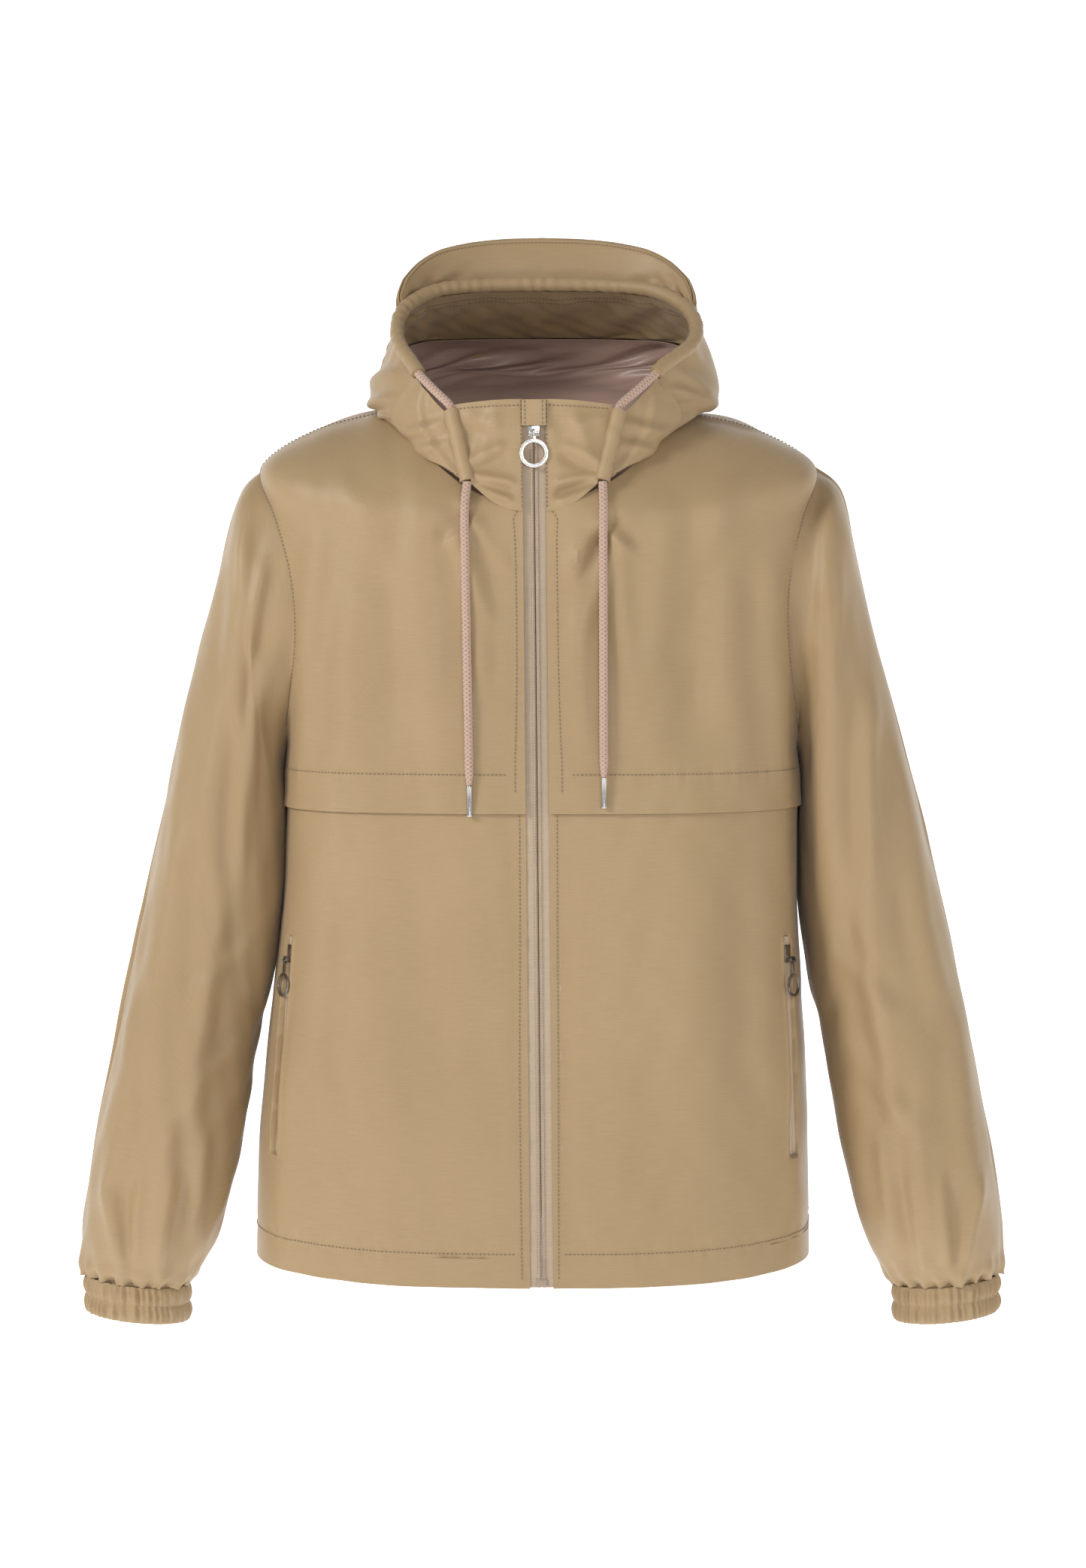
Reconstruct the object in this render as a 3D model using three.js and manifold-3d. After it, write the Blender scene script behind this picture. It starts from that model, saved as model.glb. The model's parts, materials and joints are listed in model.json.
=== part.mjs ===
// Hooded windbreaker jacket, hanging as worn on a hollow bust, millimetres, +Z up.
// +X is the wearer's left, -Y is the front. The origin is the centre of the neck at shoulder height.
import * as THREE from 'three';
import { mergeVertices } from 'three/addons/utils/BufferGeometryUtils.js';
import Module from 'manifold-3d';

const wasm = await Module();
wasm.setup();

// Driving dimensions.
const CLOTH = 1.3; // thickness of one ply in the model
const PLY_STEP = 1.9; // how far the lower front lies behind the upper front
const LINING_DEPTH = 12; // lining behind the shell
const ZIP_TOP = new THREE.Vector3(-6, -95.7, 12);
const ZIP_FOOT = new THREE.Vector3(0, -127.7, -625);
const ZIP_SHOWN = 8.4; // half of the zip left showing between the fronts
const SHOULDER_Z = -33;
const UNDERARM_Z = -240;
const ARMHOLE_HALF_DEPTH = 62;
const SIDE_SEAM = THREE.MathUtils.degToRad(92);
const FOLD_RING = 5; // the ring where the upper front ends in a folded edge
const LOWER_FRONT_RING = 5.45;
const NECK_RING = 12;
const CORD_R = 3.2;
const CASING_R = 5.8;
const CASING_BORE_R = 4.3;
const SLIDER_DROP = 6; // the closed slider's centre below the top of the zip
const PULL_PIVOT = new THREE.Vector3(0, -1.9, -22); // in the zip's own frame
const POCKET_TOP = { x: 184, z: -378 };
const POCKET_FOOT = { x: 192, z: -534 };
const POCKET_SLOT = 12;
const POCKET_LIFT = 1.5; // how far the straight zip stands out from the curved front

// Rings of the body from hem to neck. Half widths and depths are the shell's outer face.
const RINGS = [
  // z side, z front, z back, half width, front depth, back depth, squareness, centre x
  [-618, -625, -620, 208, 127.7, 127, 2.8, -5],
  [-550, -553, -550, 207, 124.1, 127, 2.9, -5],
  [-480, -480, -480, 204, 120.4, 126, 3, -4],
  [-420, -420, -420, 199, 117.4, 124, 3, -3],
  [-360, -360, -360, 192, 114.4, 123, 3, -1.5],
  [-283, -283, -283, 190, 110.5, 122, 3, 0],
  [-230, -230, -230, 190, 107.8, 123, 3, 0],
  [-170, -170, -170, 193, 104.8, 124, 3, 0],
  [-115, -115, -115, 197, 102, 123, 3, -1],
  [-68, -88, -66, 201, 100.7, 118, 2.9, -2],
  [SHOULDER_Z, -72, -30, 203, 99.9, 109, 2.8, -3],
  [-6, -66, -3, 160, 99.6, 97, 2.5, -4],
  [7, -62, 9, 106, 99.4, 86, 2.2, -5],
];

// Rings of the left sleeve: outer x and z, inner x and z, half depth, centre y.
const SLEEVE_RINGS = [
  [222, -52, 194, -262, 66, 0],
  [233, -92, 193.5, -300, 66, 0],
  [245, -145, 195, -350, 65, -2],
  [259, -200, 199.5, -392, 62, -5],
  [275, -265, 204.5, -425, 59, -8],
  [285, -310, 208.5, -445, 57, -10],
  [299, -370, 214, -475, 55, -13],
  [312, -430, 218, -500, 53, -15],
  [324, -487, 224, -535, 51, -17],
  [336, -545, 232, -571, 49, -19],
  [343, -598, 243, -608, 46, -20],
  [343, -622, 256, -632, 40, -20],
  [341, -634, 263, -642, 35, -20],
];
const CUFF_HEIGHT = 27;

// Columns of the hood from the crown to the front corner: rim point, bulge point, neck angle, lean to one side.
const HOOD_COLUMNS = [
  [0, 46, 102, 0, 200, 38, 180, 0],
  [44, 43, 101, 66, 194, 38, 152, 1],
  [82, 28, 96, 116, 160, 36, 124, 2],
  [106, 2, 80, 138, 88, 24, 98, 3],
  [108, -30, 57, 148, 12, 2, 76, 3],
  [86, -64, 33, 124, -50, -4, 57, -3.5],
  [75, -79, 3, 98, -80, -22, 44, -4.5],
  [58, -92, -38, 64, -97, -44, 33, -5.2],
];
const RIM_COLUMN = 5; // the casing runs out of the rim at this column
const CENTRE_COLUMN = 1.6; // seam between the centre and the side panels of the hood
const LAST_COLUMN = 6.9;
const INNER_STEP = 4.2; // facing and lining behind the hood's outer panels

const palette = {
  shell: [0xb29876, 0.62],
  lining: [0x96786a, 0.35],
  cord: [0xb49482, 0.85],
  tape: [0xbea591, 0.8],
  elastic: [0xe6e0d6, 0.9],
};

function cloth(kind) {
  const [color, roughness] = palette[kind];
  return new THREE.MeshStandardMaterial({ color, roughness, metalness: 0 });
}

function metal(color, roughness) {
  return new THREE.MeshStandardMaterial({ color, roughness, metalness: 1 });
}

const jacket = new THREE.Group();

function piece(name, geometry, material, parent = jacket) {
  const mesh = new THREE.Mesh(geometry, material);
  mesh.name = name;
  parent.add(mesh);
  return mesh;
}

// Smooth value at a fractional place in a list of equally long number lists.
function along(list, place) {
  const last = list.length - 1;
  const start = THREE.MathUtils.clamp(Math.floor(place), 0, last - 1);
  const f = place - start;
  const before = list[Math.max(start - 1, 0)];
  const after = list[Math.min(start + 2, last)];
  return list[start].map((a, k) => {
    const b = list[start + 1][k];
    const slopeA = (b - before[k]) / 2;
    const slopeB = (after[k] - a) / 2;
    const h = f * f * (3 - 2 * f);
    return a * (1 - h) + b * h + slopeA * f * (1 - f) ** 2 - slopeB * f * f * (1 - f);
  });
}

function torso(angle, ring) {
  const [zSide, zFront, zBack, half, front, back, square, centre] = along(RINGS, ring);
  const s = Math.sin(angle);
  const c = Math.cos(angle);
  const x = centre + half * Math.sign(s) * Math.abs(s) ** (2 / square);
  const y = (c > 0 ? -front : back) * Math.abs(c) ** (2 / square);
  const z = zSide + ((c > 0 ? zFront : zBack) - zSide) * c * c;
  return new THREE.Vector3(x, y, z);
}

// The angle at which a ring passes a given x, measured from the front.
function angleAt(ring, x) {
  const values = along(RINGS, ring);
  return Math.asin((Math.abs(x - values[7]) / values[3]) ** (values[6] / 2));
}

function zipX(z) {
  const f = (ZIP_TOP.z - z) / (ZIP_TOP.z - ZIP_FOOT.z);
  return ZIP_TOP.x + (ZIP_FOOT.x - ZIP_TOP.x) * f;
}

// The angle of the front edge at a distance from the zip's middle, on one side.
function edgeAngle(side, ring, reach) {
  const z = along(RINGS, ring)[1];
  return side * angleAt(ring, zipX(z) + side * reach);
}

function normalAt(point, u, v) {
  const e = 1e-3;
  const du = point(u + e, v).sub(point(u - e, v));
  const dv = point(u, v + e).sub(point(u, v - e));
  return du.cross(dv).normalize();
}

function solidFrom(vertices, faces) {
  let volume = 0;
  const [a, b, c] = [new THREE.Vector3(), new THREE.Vector3(), new THREE.Vector3()];
  for (const [i, j, k] of faces) {
    volume += a.copy(vertices[i]).dot(b.copy(vertices[j]).cross(c.copy(vertices[k])));
  }
  const order = volume < 0 ? faces.map(([i, j, k]) => [i, k, j]) : faces;
  const geometry = new THREE.BufferGeometry();
  geometry.setAttribute('position', new THREE.Float32BufferAttribute(vertices.flatMap((p) => p.toArray()), 3));
  geometry.setIndex(order.flat());
  return geometry;
}

// A ply of cloth: the surface point(u, v) between two offsets along its normal.
function ply(point, near, far, nu, nv, { flip = false, closed = false, across = null } = {}) {
  const vertices = [];
  const columns = closed ? nu : nu + 1;
  const rows = nv + 1;
  for (const offset of [near, far]) {
    for (let i = 0; i < columns; i += 1) {
      for (let j = 0; j < rows; j += 1) {
        const normal = across ? across(i / nu) : normalAt(point, i / nu, j / nv);
        vertices.push(point(i / nu, j / nv).addScaledVector(normal, flip ? -offset : offset));
      }
    }
  }
  const layer = columns * rows;
  const at = (k, i, j) => k * layer + (i % columns) * rows + j;
  const faces = [];
  const quad = (a, b, c, d) => faces.push([a, b, c], [a, c, d]);
  for (let i = 0; i < nu; i += 1) {
    for (let j = 0; j < nv; j += 1) {
      quad(at(0, i, j), at(0, i + 1, j), at(0, i + 1, j + 1), at(0, i, j + 1));
      quad(at(1, i, j), at(1, i, j + 1), at(1, i + 1, j + 1), at(1, i + 1, j));
    }
    quad(at(0, i, 0), at(1, i, 0), at(1, i + 1, 0), at(0, i + 1, 0));
    quad(at(0, i, nv), at(0, i + 1, nv), at(1, i + 1, nv), at(1, i, nv));
  }
  for (let j = 0; j < nv && !closed; j += 1) {
    quad(at(0, 0, j), at(0, 0, j + 1), at(1, 0, j + 1), at(1, 0, j));
    quad(at(0, nu, j), at(1, nu, j), at(1, nu, j + 1), at(0, nu, j + 1));
  }
  return solidFrom(vertices, faces);
}

// A closed outline of [offset, v] pairs carried round the closed surface point(u, v).
function hoop(point, outline, nu, flip = false) {
  const vertices = [];
  for (let i = 0; i < nu; i += 1) {
    for (const [offset, v] of outline) {
      const normal = normalAt(point, i / nu, v).multiplyScalar(flip ? -offset : offset);
      vertices.push(point(i / nu, v).add(normal));
    }
  }
  const count = outline.length;
  const faces = [];
  for (let i = 0; i < nu; i += 1) {
    const here = i * count;
    const next = ((i + 1) % nu) * count;
    for (let j = 0; j < count; j += 1) {
      const k = (j + 1) % count;
      faces.push([here + j, next + j, next + k], [here + j, next + k, here + k]);
    }
  }
  return solidFrom(vertices, faces);
}

function toManifold(geometry) {
  const bare = geometry.clone();
  bare.deleteAttribute('normal');
  bare.deleteAttribute('uv');
  const merged = mergeVertices(bare, 1e-4);
  const mesh = new wasm.Mesh({
    numProp: 3,
    vertProperties: merged.attributes.position.array,
    triVerts: new Uint32Array(merged.index.array),
  });
  return new wasm.Manifold(mesh);
}

function toGeometry(solid) {
  const mesh = solid.getMesh();
  const geometry = new THREE.BufferGeometry();
  geometry.setAttribute('position', new THREE.BufferAttribute(mesh.vertProperties, 3));
  geometry.setIndex(new THREE.BufferAttribute(mesh.triVerts, 1));
  return geometry;
}

function cut(geometry, ...tools) {
  return toGeometry(tools.reduce((solid, tool) => solid.subtract(toManifold(tool)), toManifold(geometry)));
}

function join(...parts) {
  return toGeometry(parts.map(toManifold).reduce((a, b) => a.add(b)));
}

// A box given by its lowest and highest corners.
function block(x0, x1, y0, y1, z0, z1) {
  const box = new THREE.BoxGeometry(x1 - x0, y1 - y0, z1 - z0);
  return box.translate((x0 + x1) / 2, (y0 + y1) / 2, (z0 + z1) / 2);
}

function tube(points, radius, steps, bore = 0, sides = 10) {
  const shape = new THREE.Shape();
  shape.absarc(0, 0, radius, 0, 2 * Math.PI, false);
  if (bore) {
    const hole = new THREE.Path();
    hole.absarc(0, 0, bore, 0, 2 * Math.PI, true);
    shape.holes.push(hole);
  }
  const path = new THREE.CatmullRomCurve3(points, false, 'centripetal');
  const options = { extrudePath: path, steps, bevelEnabled: false, curveSegments: sides };
  return new THREE.ExtrudeGeometry(shape, options);
}

// ---- Body ----

function armholeTool(side) {
  const shape = new THREE.Shape();
  const halfHeight = (SHOULDER_Z - UNDERARM_Z) / 2;
  shape.absellipse(0, 0, halfHeight, ARMHOLE_HALF_DEPTH, 0, 2 * Math.PI, false);
  const tool = new THREE.ExtrudeGeometry(shape, { depth: 130, bevelEnabled: false, curveSegments: 20 });
  tool.rotateY(Math.PI / 2);
  return tool.translate(side > 0 ? 120 : -250, 0, (SHOULDER_Z + UNDERARM_Z) / 2);
}

// One front between its zip edge and its side seam, from ring r0 to ring r1.
function frontSurface(side, r0, r1, reach) {
  return (u, v) => {
    const ring = r0 + (r1 - r0) * v;
    const start = edgeAngle(side, ring, reach);
    const seam = side * (SIDE_SEAM - 0.12 * Math.max(0, ring - 9) / 3 - 0.006);
    return torso(start + (seam - start) * u, ring);
  };
}

function backSurface(u, v) {
  const ring = NECK_RING * v;
  const seam = SIDE_SEAM - 0.12 * Math.max(0, ring - 9) / 3 + 0.006;
  return torso(seam + (2 * Math.PI - 2 * seam) * u, ring);
}

// The straight pocket zip: a group whose Z runs up the zip and whose -Y faces outwards.
function pocketFrame(side) {
  const place = ({ x, z }) => {
    const ring = RINGS.findIndex((r) => r[0] > z) - 1;
    const f = (z - RINGS[ring][0]) / (RINGS[ring + 1][0] - RINGS[ring][0]);
    const centre = along(RINGS, ring + f)[7];
    const angle = side * angleAt(ring + f, centre + x);
    return { point: torso(angle, ring + f), angle, ring: ring + f };
  };
  const top = place(POCKET_TOP);
  const foot = place(POCKET_FOOT);
  const up = top.point.clone().sub(foot.point).normalize();
  const surface = (u, v) => torso(u, v);
  const outward = normalAt(surface, (top.angle + foot.angle) / 2, (top.ring + foot.ring) / 2);
  outward.addScaledVector(up, -outward.dot(up)).normalize();
  const inward = outward.clone().negate();
  const across = inward.clone().cross(up);
  const group = new THREE.Group();
  const middle = top.point.clone().add(foot.point).multiplyScalar(0.5).addScaledVector(outward, POCKET_LIFT - PLY_STEP);
  const matrix = new THREE.Matrix4().makeBasis(across, inward, up).setPosition(middle);
  matrix.decompose(group.position, group.quaternion, group.scale);
  group.updateMatrixWorld();
  return { group, length: top.point.distanceTo(foot.point) };
}

function buildBody(pockets) {
  piece('back_panel', cut(ply(backSurface, 0, -CLOTH, 16, 10), armholeTool(1), armholeTool(-1)), cloth('shell'));
  for (const [name, side] of [['right', -1], ['left', 1]]) {
    const flip = side < 0;
    const upper = ply(frontSurface(side, FOLD_RING, NECK_RING, ZIP_SHOWN), 0, -CLOTH, 10, 8, { flip });
    piece(`${name}_front_upper`, cut(upper, armholeTool(side)), cloth('shell'));
    const lowerSurface = frontSurface(side, 0, LOWER_FRONT_RING, ZIP_SHOWN);
    const lower = ply(lowerSurface, -PLY_STEP, -PLY_STEP - CLOTH, 11, 6, { flip });
    const { group, length } = pockets[name];
    const half = POCKET_SLOT / 2;
    const slot = block(-half, half, -14, 14, -length / 2 - 3, length / 2 + 3).applyMatrix4(group.matrixWorld);
    piece(`${name}_front_lower`, cut(lower, slot), cloth('shell'));
    const bag = (u, v) => torso(side * THREE.MathUtils.degToRad(18 + 39 * u), 1.4 + 2.3 * v);
    piece(`${name}_pocket_bag`, ply(bag, -9, -11, 6, 4, { flip }), cloth('lining'));
  }
  const lining = (u, v) => {
    const ring = 0.55 + 10.3 * v;
    const start = edgeAngle(1, ring, 17);
    const end = 2 * Math.PI + edgeAngle(-1, ring, 17);
    return torso(start + (end - start) * u, ring);
  };
  const liningPly = ply(lining, -LINING_DEPTH, -LINING_DEPTH - CLOTH, 24, 8);
  piece('body_lining', cut(liningPly, armholeTool(1), armholeTool(-1)), cloth('lining'));
  const facing = (u, v) => {
    const start = edgeAngle(1, 0, 18);
    const end = 2 * Math.PI + edgeAngle(-1, 0, 18);
    return torso(start + (end - start) * u, 0.02 + 0.35 * v);
  };
  piece('hem_facing', ply(facing, -4.2, -4.2 - CLOTH, 22, 1), cloth('shell'));
}

function buildNeckTrim() {
  const strip = (u, v) => {
    const p = torso(Math.PI + (u - 0.5) * 2.2, NECK_RING);
    return p.add(new THREE.Vector3(0, -4, -14 + 10 * v));
  };
  piece('neck_tape', ply(strip, 0.4, -0.4, 10, 1), cloth('tape'));
  const y = RINGS[NECK_RING][5] - 7;
  const loop = [[-28, y, -9], [-24, y - 3, -15], [-5, y - 5, -19], [14, y - 3, -15], [18, y, -9]];
  piece('hanger_loop', tube(loop.map((p) => new THREE.Vector3(...p)), 1.6, 10, 0, 3), cloth('shell'));
}

// ---- Sleeves and cuffs ----

// The point on the shell's side at a given y and z, found by halving.
function sidePoint(side, y, z) {
  const search = (low, high, over) => {
    for (let i = 0; i < 28; i += 1) {
      const middle = (low + high) / 2;
      if (over(middle)) high = middle;
      else low = middle;
    }
    return (low + high) / 2;
  };
  const angleFor = (ring) => search(0, Math.PI, (a) => torso(a, ring).y > y);
  const ring = search(5, 10, (r) => torso(angleFor(r), r).z > z);
  const p = torso(angleFor(ring), ring);
  return side > 0 ? p : torso(-angleFor(ring), ring);
}

function sleeveLoops(side, count) {
  const first = [];
  for (let i = 0; i < count; i += 1) {
    const a = (2 * Math.PI * i) / count;
    const height = ((SHOULDER_Z - UNDERARM_Z) / 2) * 0.965;
    const z = (SHOULDER_Z + UNDERARM_Z) / 2 + height * Math.cos(a);
    first.push(sidePoint(side, ARMHOLE_HALF_DEPTH * 0.965 * Math.sin(a), z));
  }
  return first;
}

function buildSleeve(name, side) {
  const count = 16;
  const first = sleeveLoops(side, count);
  const loopPoint = (ring, i) => {
    if (ring === 0) return first[i % count];
    const [xo, zo, xi, zi, depth, yc] = SLEEVE_RINGS[ring - 1];
    const a = (2 * Math.PI * i) / count;
    const x = (xo + xi) / 2 + ((xo - xi) / 2) * Math.cos(a);
    const z = (zo + zi) / 2 + ((zo - zi) / 2) * Math.cos(a);
    return new THREE.Vector3(side * x, yc + depth * Math.sin(a), z);
  };
  const rings = SLEEVE_RINGS.length;
  const columns = [];
  for (let i = 0; i < count; i += 1) {
    columns.push(Array.from({ length: rings + 1 }, (_, k) => loopPoint(k, i).toArray()));
  }
  const surface = (u, v) => {
    const place = u * count;
    const i = Math.floor(place);
    const a = along(columns[((i % count) + count) % count], v * rings);
    const b = along(columns[(((i + 1) % count) + count) % count], v * rings);
    return new THREE.Vector3(...a).lerp(new THREE.Vector3(...b), place - i);
  };
  const flip = side > 0;
  piece(`${name}_sleeve`, ply(surface, 0, -CLOTH, count, 11, { flip, closed: true }), cloth('shell'));
}

function buildCuff(name, side) {
  const [xo, zo, xi, zi, depth, yc] = SLEEVE_RINGS[SLEEVE_RINGS.length - 1];
  const surface = (u, v) => {
    const a = 2 * Math.PI * u;
    const x = (xo + xi) / 2 + ((xo - xi) / 2 - 0.5) * Math.cos(a);
    const z = (zo + zi) / 2 + ((zo - zi) / 2) * Math.cos(a) - 1.4 - CUFF_HEIGHT * v;
    return new THREE.Vector3(side * x, yc + depth * Math.sin(a), z);
  };
  const flip = side > 0;
  const fold = [[0, 0], [0, 1], [-4.6, 1], [-4.6, 0], [-3.5, 0], [-3.5, 0.96], [-1.1, 0.96], [-1.1, 0]];
  piece(`${name}_cuff`, hoop(surface, fold, 18, flip), cloth('shell'));
  for (const [level, v0] of [['upper', 0.06], ['lower', 0.52]]) {
    const v1 = v0 + 0.38;
    const band = [[-1.5, v0], [-1.5, v1], [-3.1, v1], [-3.1, v0]];
    piece(`${name}_cuff_elastic_${level}`, hoop(surface, band, 18, flip), cloth('elastic'));
  }
}

// ---- Collar and hood ----

function neckPoint(side, degrees) {
  const p = torso(side * THREE.MathUtils.degToRad(degrees), NECK_RING);
  return p.add(new THREE.Vector3(0, 0, 3.2));
}

// The hood's surface: column runs from the crown (0) to the front corner, r from rim to neck.
function hoodPoint(column, r, skip) {
  const side = column < 0 ? -1 : 1;
  const [rx, ry, rz, cx, cy, cz, degrees, lean] = along(HOOD_COLUMNS, Math.abs(column));
  const rim = new THREE.Vector3(side * rx + lean, ry, rz);
  const bulge = new THREE.Vector3(side * cx + lean, cy, cz);
  const neck = neckPoint(side, degrees);
  const start = skip / (2 * rim.distanceTo(bulge));
  const f = start + (1 - start) * r;
  const p = rim.multiplyScalar((1 - f) ** 2);
  return p.addScaledVector(bulge, 2 * f * (1 - f)).addScaledVector(neck, f * f);
}

function hoodStrip(c0, c1, r0, r1, skip) {
  return (u, v) => hoodPoint(c0 + (c1 - c0) * u, r0 + (r1 - r0) * v, skip);
}

function buildHood() {
  const skip = CASING_R + 1.2;
  const side = RIM_COLUMN - 0.05;
  const centre = CENTRE_COLUMN;
  const panels = [
    ['hood_centre_panel', -centre + 0.02, centre - 0.02, 6],
    ['hood_left_panel', centre + 0.02, side, 8],
    ['hood_right_panel', -side, -centre - 0.02, 8],
  ];
  for (const [name, c0, c1, nu] of panels) {
    piece(name, ply(hoodStrip(c0, c1, 0, 1, skip), 0, -CLOTH, nu, 8, { flip: true }), cloth('shell'));
  }
  const facing = hoodStrip(-side, side, 0.02, 0.27, skip);
  piece('hood_facing', ply(facing, -INNER_STEP, -INNER_STEP - CLOTH, 20, 3, { flip: true }), cloth('shell'));
  const lining = hoodStrip(-side, side, 0.285, 0.66, skip);
  piece('hood_lining', ply(lining, -INNER_STEP, -INNER_STEP - CLOTH, 20, 6, { flip: true }), cloth('lining'));
  const rim = [];
  for (let k = -RIM_COLUMN; k <= RIM_COLUMN; k += 0.5) rim.push(hoodPoint(k, 0, 0));
  piece('hood_casing', tube(rim, CASING_R, 26, CASING_BORE_R, 4), cloth('shell'));
  return rim;
}

// The brim stands on the rim: column c of the rim, v from its foot to its edge.
function buildVisor() {
  const reach = 2.9;
  const height = (c) => 29 * (1 - Math.abs(c / (reach + 0.2)) ** 3.2);
  const tangentAt = (c) => hoodPoint(c + 0.05, 0, 0).sub(hoodPoint(c - 0.05, 0, 0)).normalize();
  const surface = (c, v) => {
    const tangent = tangentAt(c);
    const upward = new THREE.Vector3(0, 0, 1).addScaledVector(tangent, -tangent.z).normalize();
    const foot = hoodPoint(c, 0, 0).addScaledVector(upward, CASING_R + 1.7);
    return foot.add(new THREE.Vector3(0, 8 * v, height(c) * v));
  };
  const plies = [['hood_visor', 0, 1.1, 'shell', 0], ['visor_stiffener', 2.3, 2.9, 'elastic', 0.16],
    ['hood_visor_back', 4.1, 5.2, 'shell', 0]];
  for (const [name, near, far, kind, margin] of plies) {
    const column = (u) => (reach - margin) * (2 * u - 1);
    const inset = (u, v) => surface(column(u), margin + (1 - 2 * margin) * v);
    const across = (u) => {
      const tangent = tangentAt(column(u));
      return new THREE.Vector3(-tangent.y, tangent.x, 0).normalize();
    };
    piece(name, ply(inset, near, far, 20, 2, { across }), cloth(kind));
  }
}

function casingEnds(side) {
  const top = new THREE.Vector3(-5 + side * 60.5, -86, 6);
  const foot = new THREE.Vector3(-5 + side * 48.4, -97, -44);
  return { top, foot };
}

function buildCollar(name, side) {
  const { top, foot } = casingEnds(side);
  const surface = (u, v) => {
    const bottomX = ZIP_SHOWN + (34.5 - ZIP_SHOWN) * u;
    const topX = ZIP_SHOWN + (52.5 - ZIP_SHOWN) * u;
    const across = bottomX + (topX - bottomX) * v;
    const z = -58 + 16 * u * u + (ZIP_TOP.z + 2 - 4 * u * u + 58 - 16 * u * u) * v;
    const f = (ZIP_TOP.z - z) / (ZIP_TOP.z - ZIP_FOOT.z);
    const y = ZIP_TOP.y + (ZIP_FOOT.y - ZIP_TOP.y) * f + 9 * u * u * v;
    return new THREE.Vector3(zipX(z) + side * across, y, z);
  };
  piece(`${name}_collar`, ply(surface, 0, -CLOTH, 6, 5, { flip: side < 0 }), cloth('shell'));
  piece(`${name}_collar_casing`, tube([foot, top], CASING_R, 3, CASING_BORE_R, 5), cloth('shell'));
  const inner = new THREE.Vector3().subVectors(top, foot).normalize();
  const low = foot.clone().addScaledVector(inner, 0.4);
  const high = top.clone().addScaledVector(inner, 2);
  piece(`${name}_collar_cord`, tube([low, high], CORD_R, 3, 0, 5), cloth('cord'));
  const c0 = RIM_COLUMN + 0.25;
  const skirt = hoodStrip(side * c0, side * LAST_COLUMN, 0, 0.97, 2);
  piece(`${name}_collar_side`, ply(skirt, 0, -CLOTH, 5, 5, { flip: side > 0 }), cloth('shell'));
  return [high.clone().addScaledVector(inner, 0.5), high.clone().addScaledVector(inner, 4)];
}

function buildHoodCord(rim, left, right) {
  const crossing = (end, exit) => end.clone().lerp(exit, 0.5).add(new THREE.Vector3(0, -2, -1));
  const [rightExit, leftExit] = [rim[0], rim[rim.length - 1]];
  const path = [...right, crossing(right[1], rightExit), ...rim, crossing(left[1], leftExit), ...left.reverse()];
  piece('hood_drawcord', tube(path, CORD_R, 36, 0, 4), cloth('cord'));
}

// ---- Hanging cords, chosen by hand from the casing's mouth to the aglet ----

const RIGHT_CORD = [
  [-53.6, -97.6, -45.4], [-54.2, -99.2, -51], [-55, -101.5, -58], [-55.4, -103.6, -68], [-55.3, -104.9, -82],
  [-55, -105.8, -97], [-54.7, -106.6, -113], [-54.4, -107.4, -129], [-54.1, -108.2, -145], [-53.8, -109, -161],
  [-53.5, -109.8, -177], [-53.2, -110.6, -193], [-52.9, -111.4, -209], [-52.6, -112.2, -225],
  [-52.3, -113, -243], [-52, -113.9, -262],
];
const LEFT_CORD = [
  [43.6, -97.6, -45.4], [43.8, -99.2, -51], [44, -101.6, -58], [44, -103.8, -68], [43.9, -105.1, -82],
  [43.9, -106, -97], [43.9, -106.8, -113], [44, -107.6, -129], [44, -108.4, -145], [44.1, -109.2, -161],
  [44.1, -110, -177], [44.2, -110.8, -193], [44.2, -111.6, -209], [44.3, -112.4, -225],
  [44.4, -113.1, -240], [44.5, -113.9, -256],
];

function buildDrawcord(name, route) {
  const points = route.map((p) => new THREE.Vector3(...p));
  piece(`${name}_drawcord`, tube(points, CORD_R, 15, 0, 5), cloth('cord'));
  const profile = [[0, -22], [2.25, -22], [2.25, -20.6], [2.05, -20], [2.05, -1.4], [2.25, -1], [2.25, 0], [0, 0]];
  const aglet = new THREE.LatheGeometry(profile.map(([r, h]) => new THREE.Vector2(r, h)), 12);
  aglet.rotateX(Math.PI / 2);
  const end = points[points.length - 1];
  const mesh = piece(`${name}_aglet`, aglet, metal(0xb8b8b6, 0.25));
  mesh.position.set(end.x, end.y - 0.2, end.z - 0.4);
}

// ---- Zips: in each zip's frame Z runs up the zip and -Y faces outwards ----

function sliderBody(centre, halfTop, halfFoot) {
  const shape = new THREE.Shape();
  const high = 6.5;
  shape.moveTo(-halfTop + 1, high);
  shape.quadraticCurveTo(-halfTop, high, -halfTop, high - 1.2);
  shape.lineTo(-halfFoot, -high + 1);
  shape.quadraticCurveTo(-halfFoot, -high, -halfFoot + 1, -high);
  shape.lineTo(halfFoot - 1, -high);
  shape.quadraticCurveTo(halfFoot, -high, halfFoot, -high + 1);
  shape.lineTo(halfTop, high - 1.2);
  shape.quadraticCurveTo(halfTop, high, halfTop - 1, high);
  const plate = (thick) => {
    const geometry = new THREE.ExtrudeGeometry(shape, { depth: thick, bevelEnabled: false, curveSegments: 3 });
    return geometry.rotateX(Math.PI / 2);
  };
  const front = plate(1.4).translate(0, 3.4, 0);
  const rear = plate(1.2).translate(0, 8.3, 0);
  const bridge = block(-0.4, 0.4, 3.2, 7.3, 0, 5);
  return join(front, rear, bridge).translate(0, 0, centre);
}

// The two posts and the bar that the pull hangs on, round the pivot.
function bail(pivot) {
  const bar = new THREE.CylinderGeometry(0.85, 0.85, 7, 10);
  bar.rotateZ(Math.PI / 2);
  const posts = [-1, 1].map((s) => block(s * 3.1 - 0.6, s * 3.1 + 0.6, -0.7, 4.2, -1, 1.2));
  return join(bar, ...posts).translate(pivot.x, pivot.y, pivot.z);
}

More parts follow.
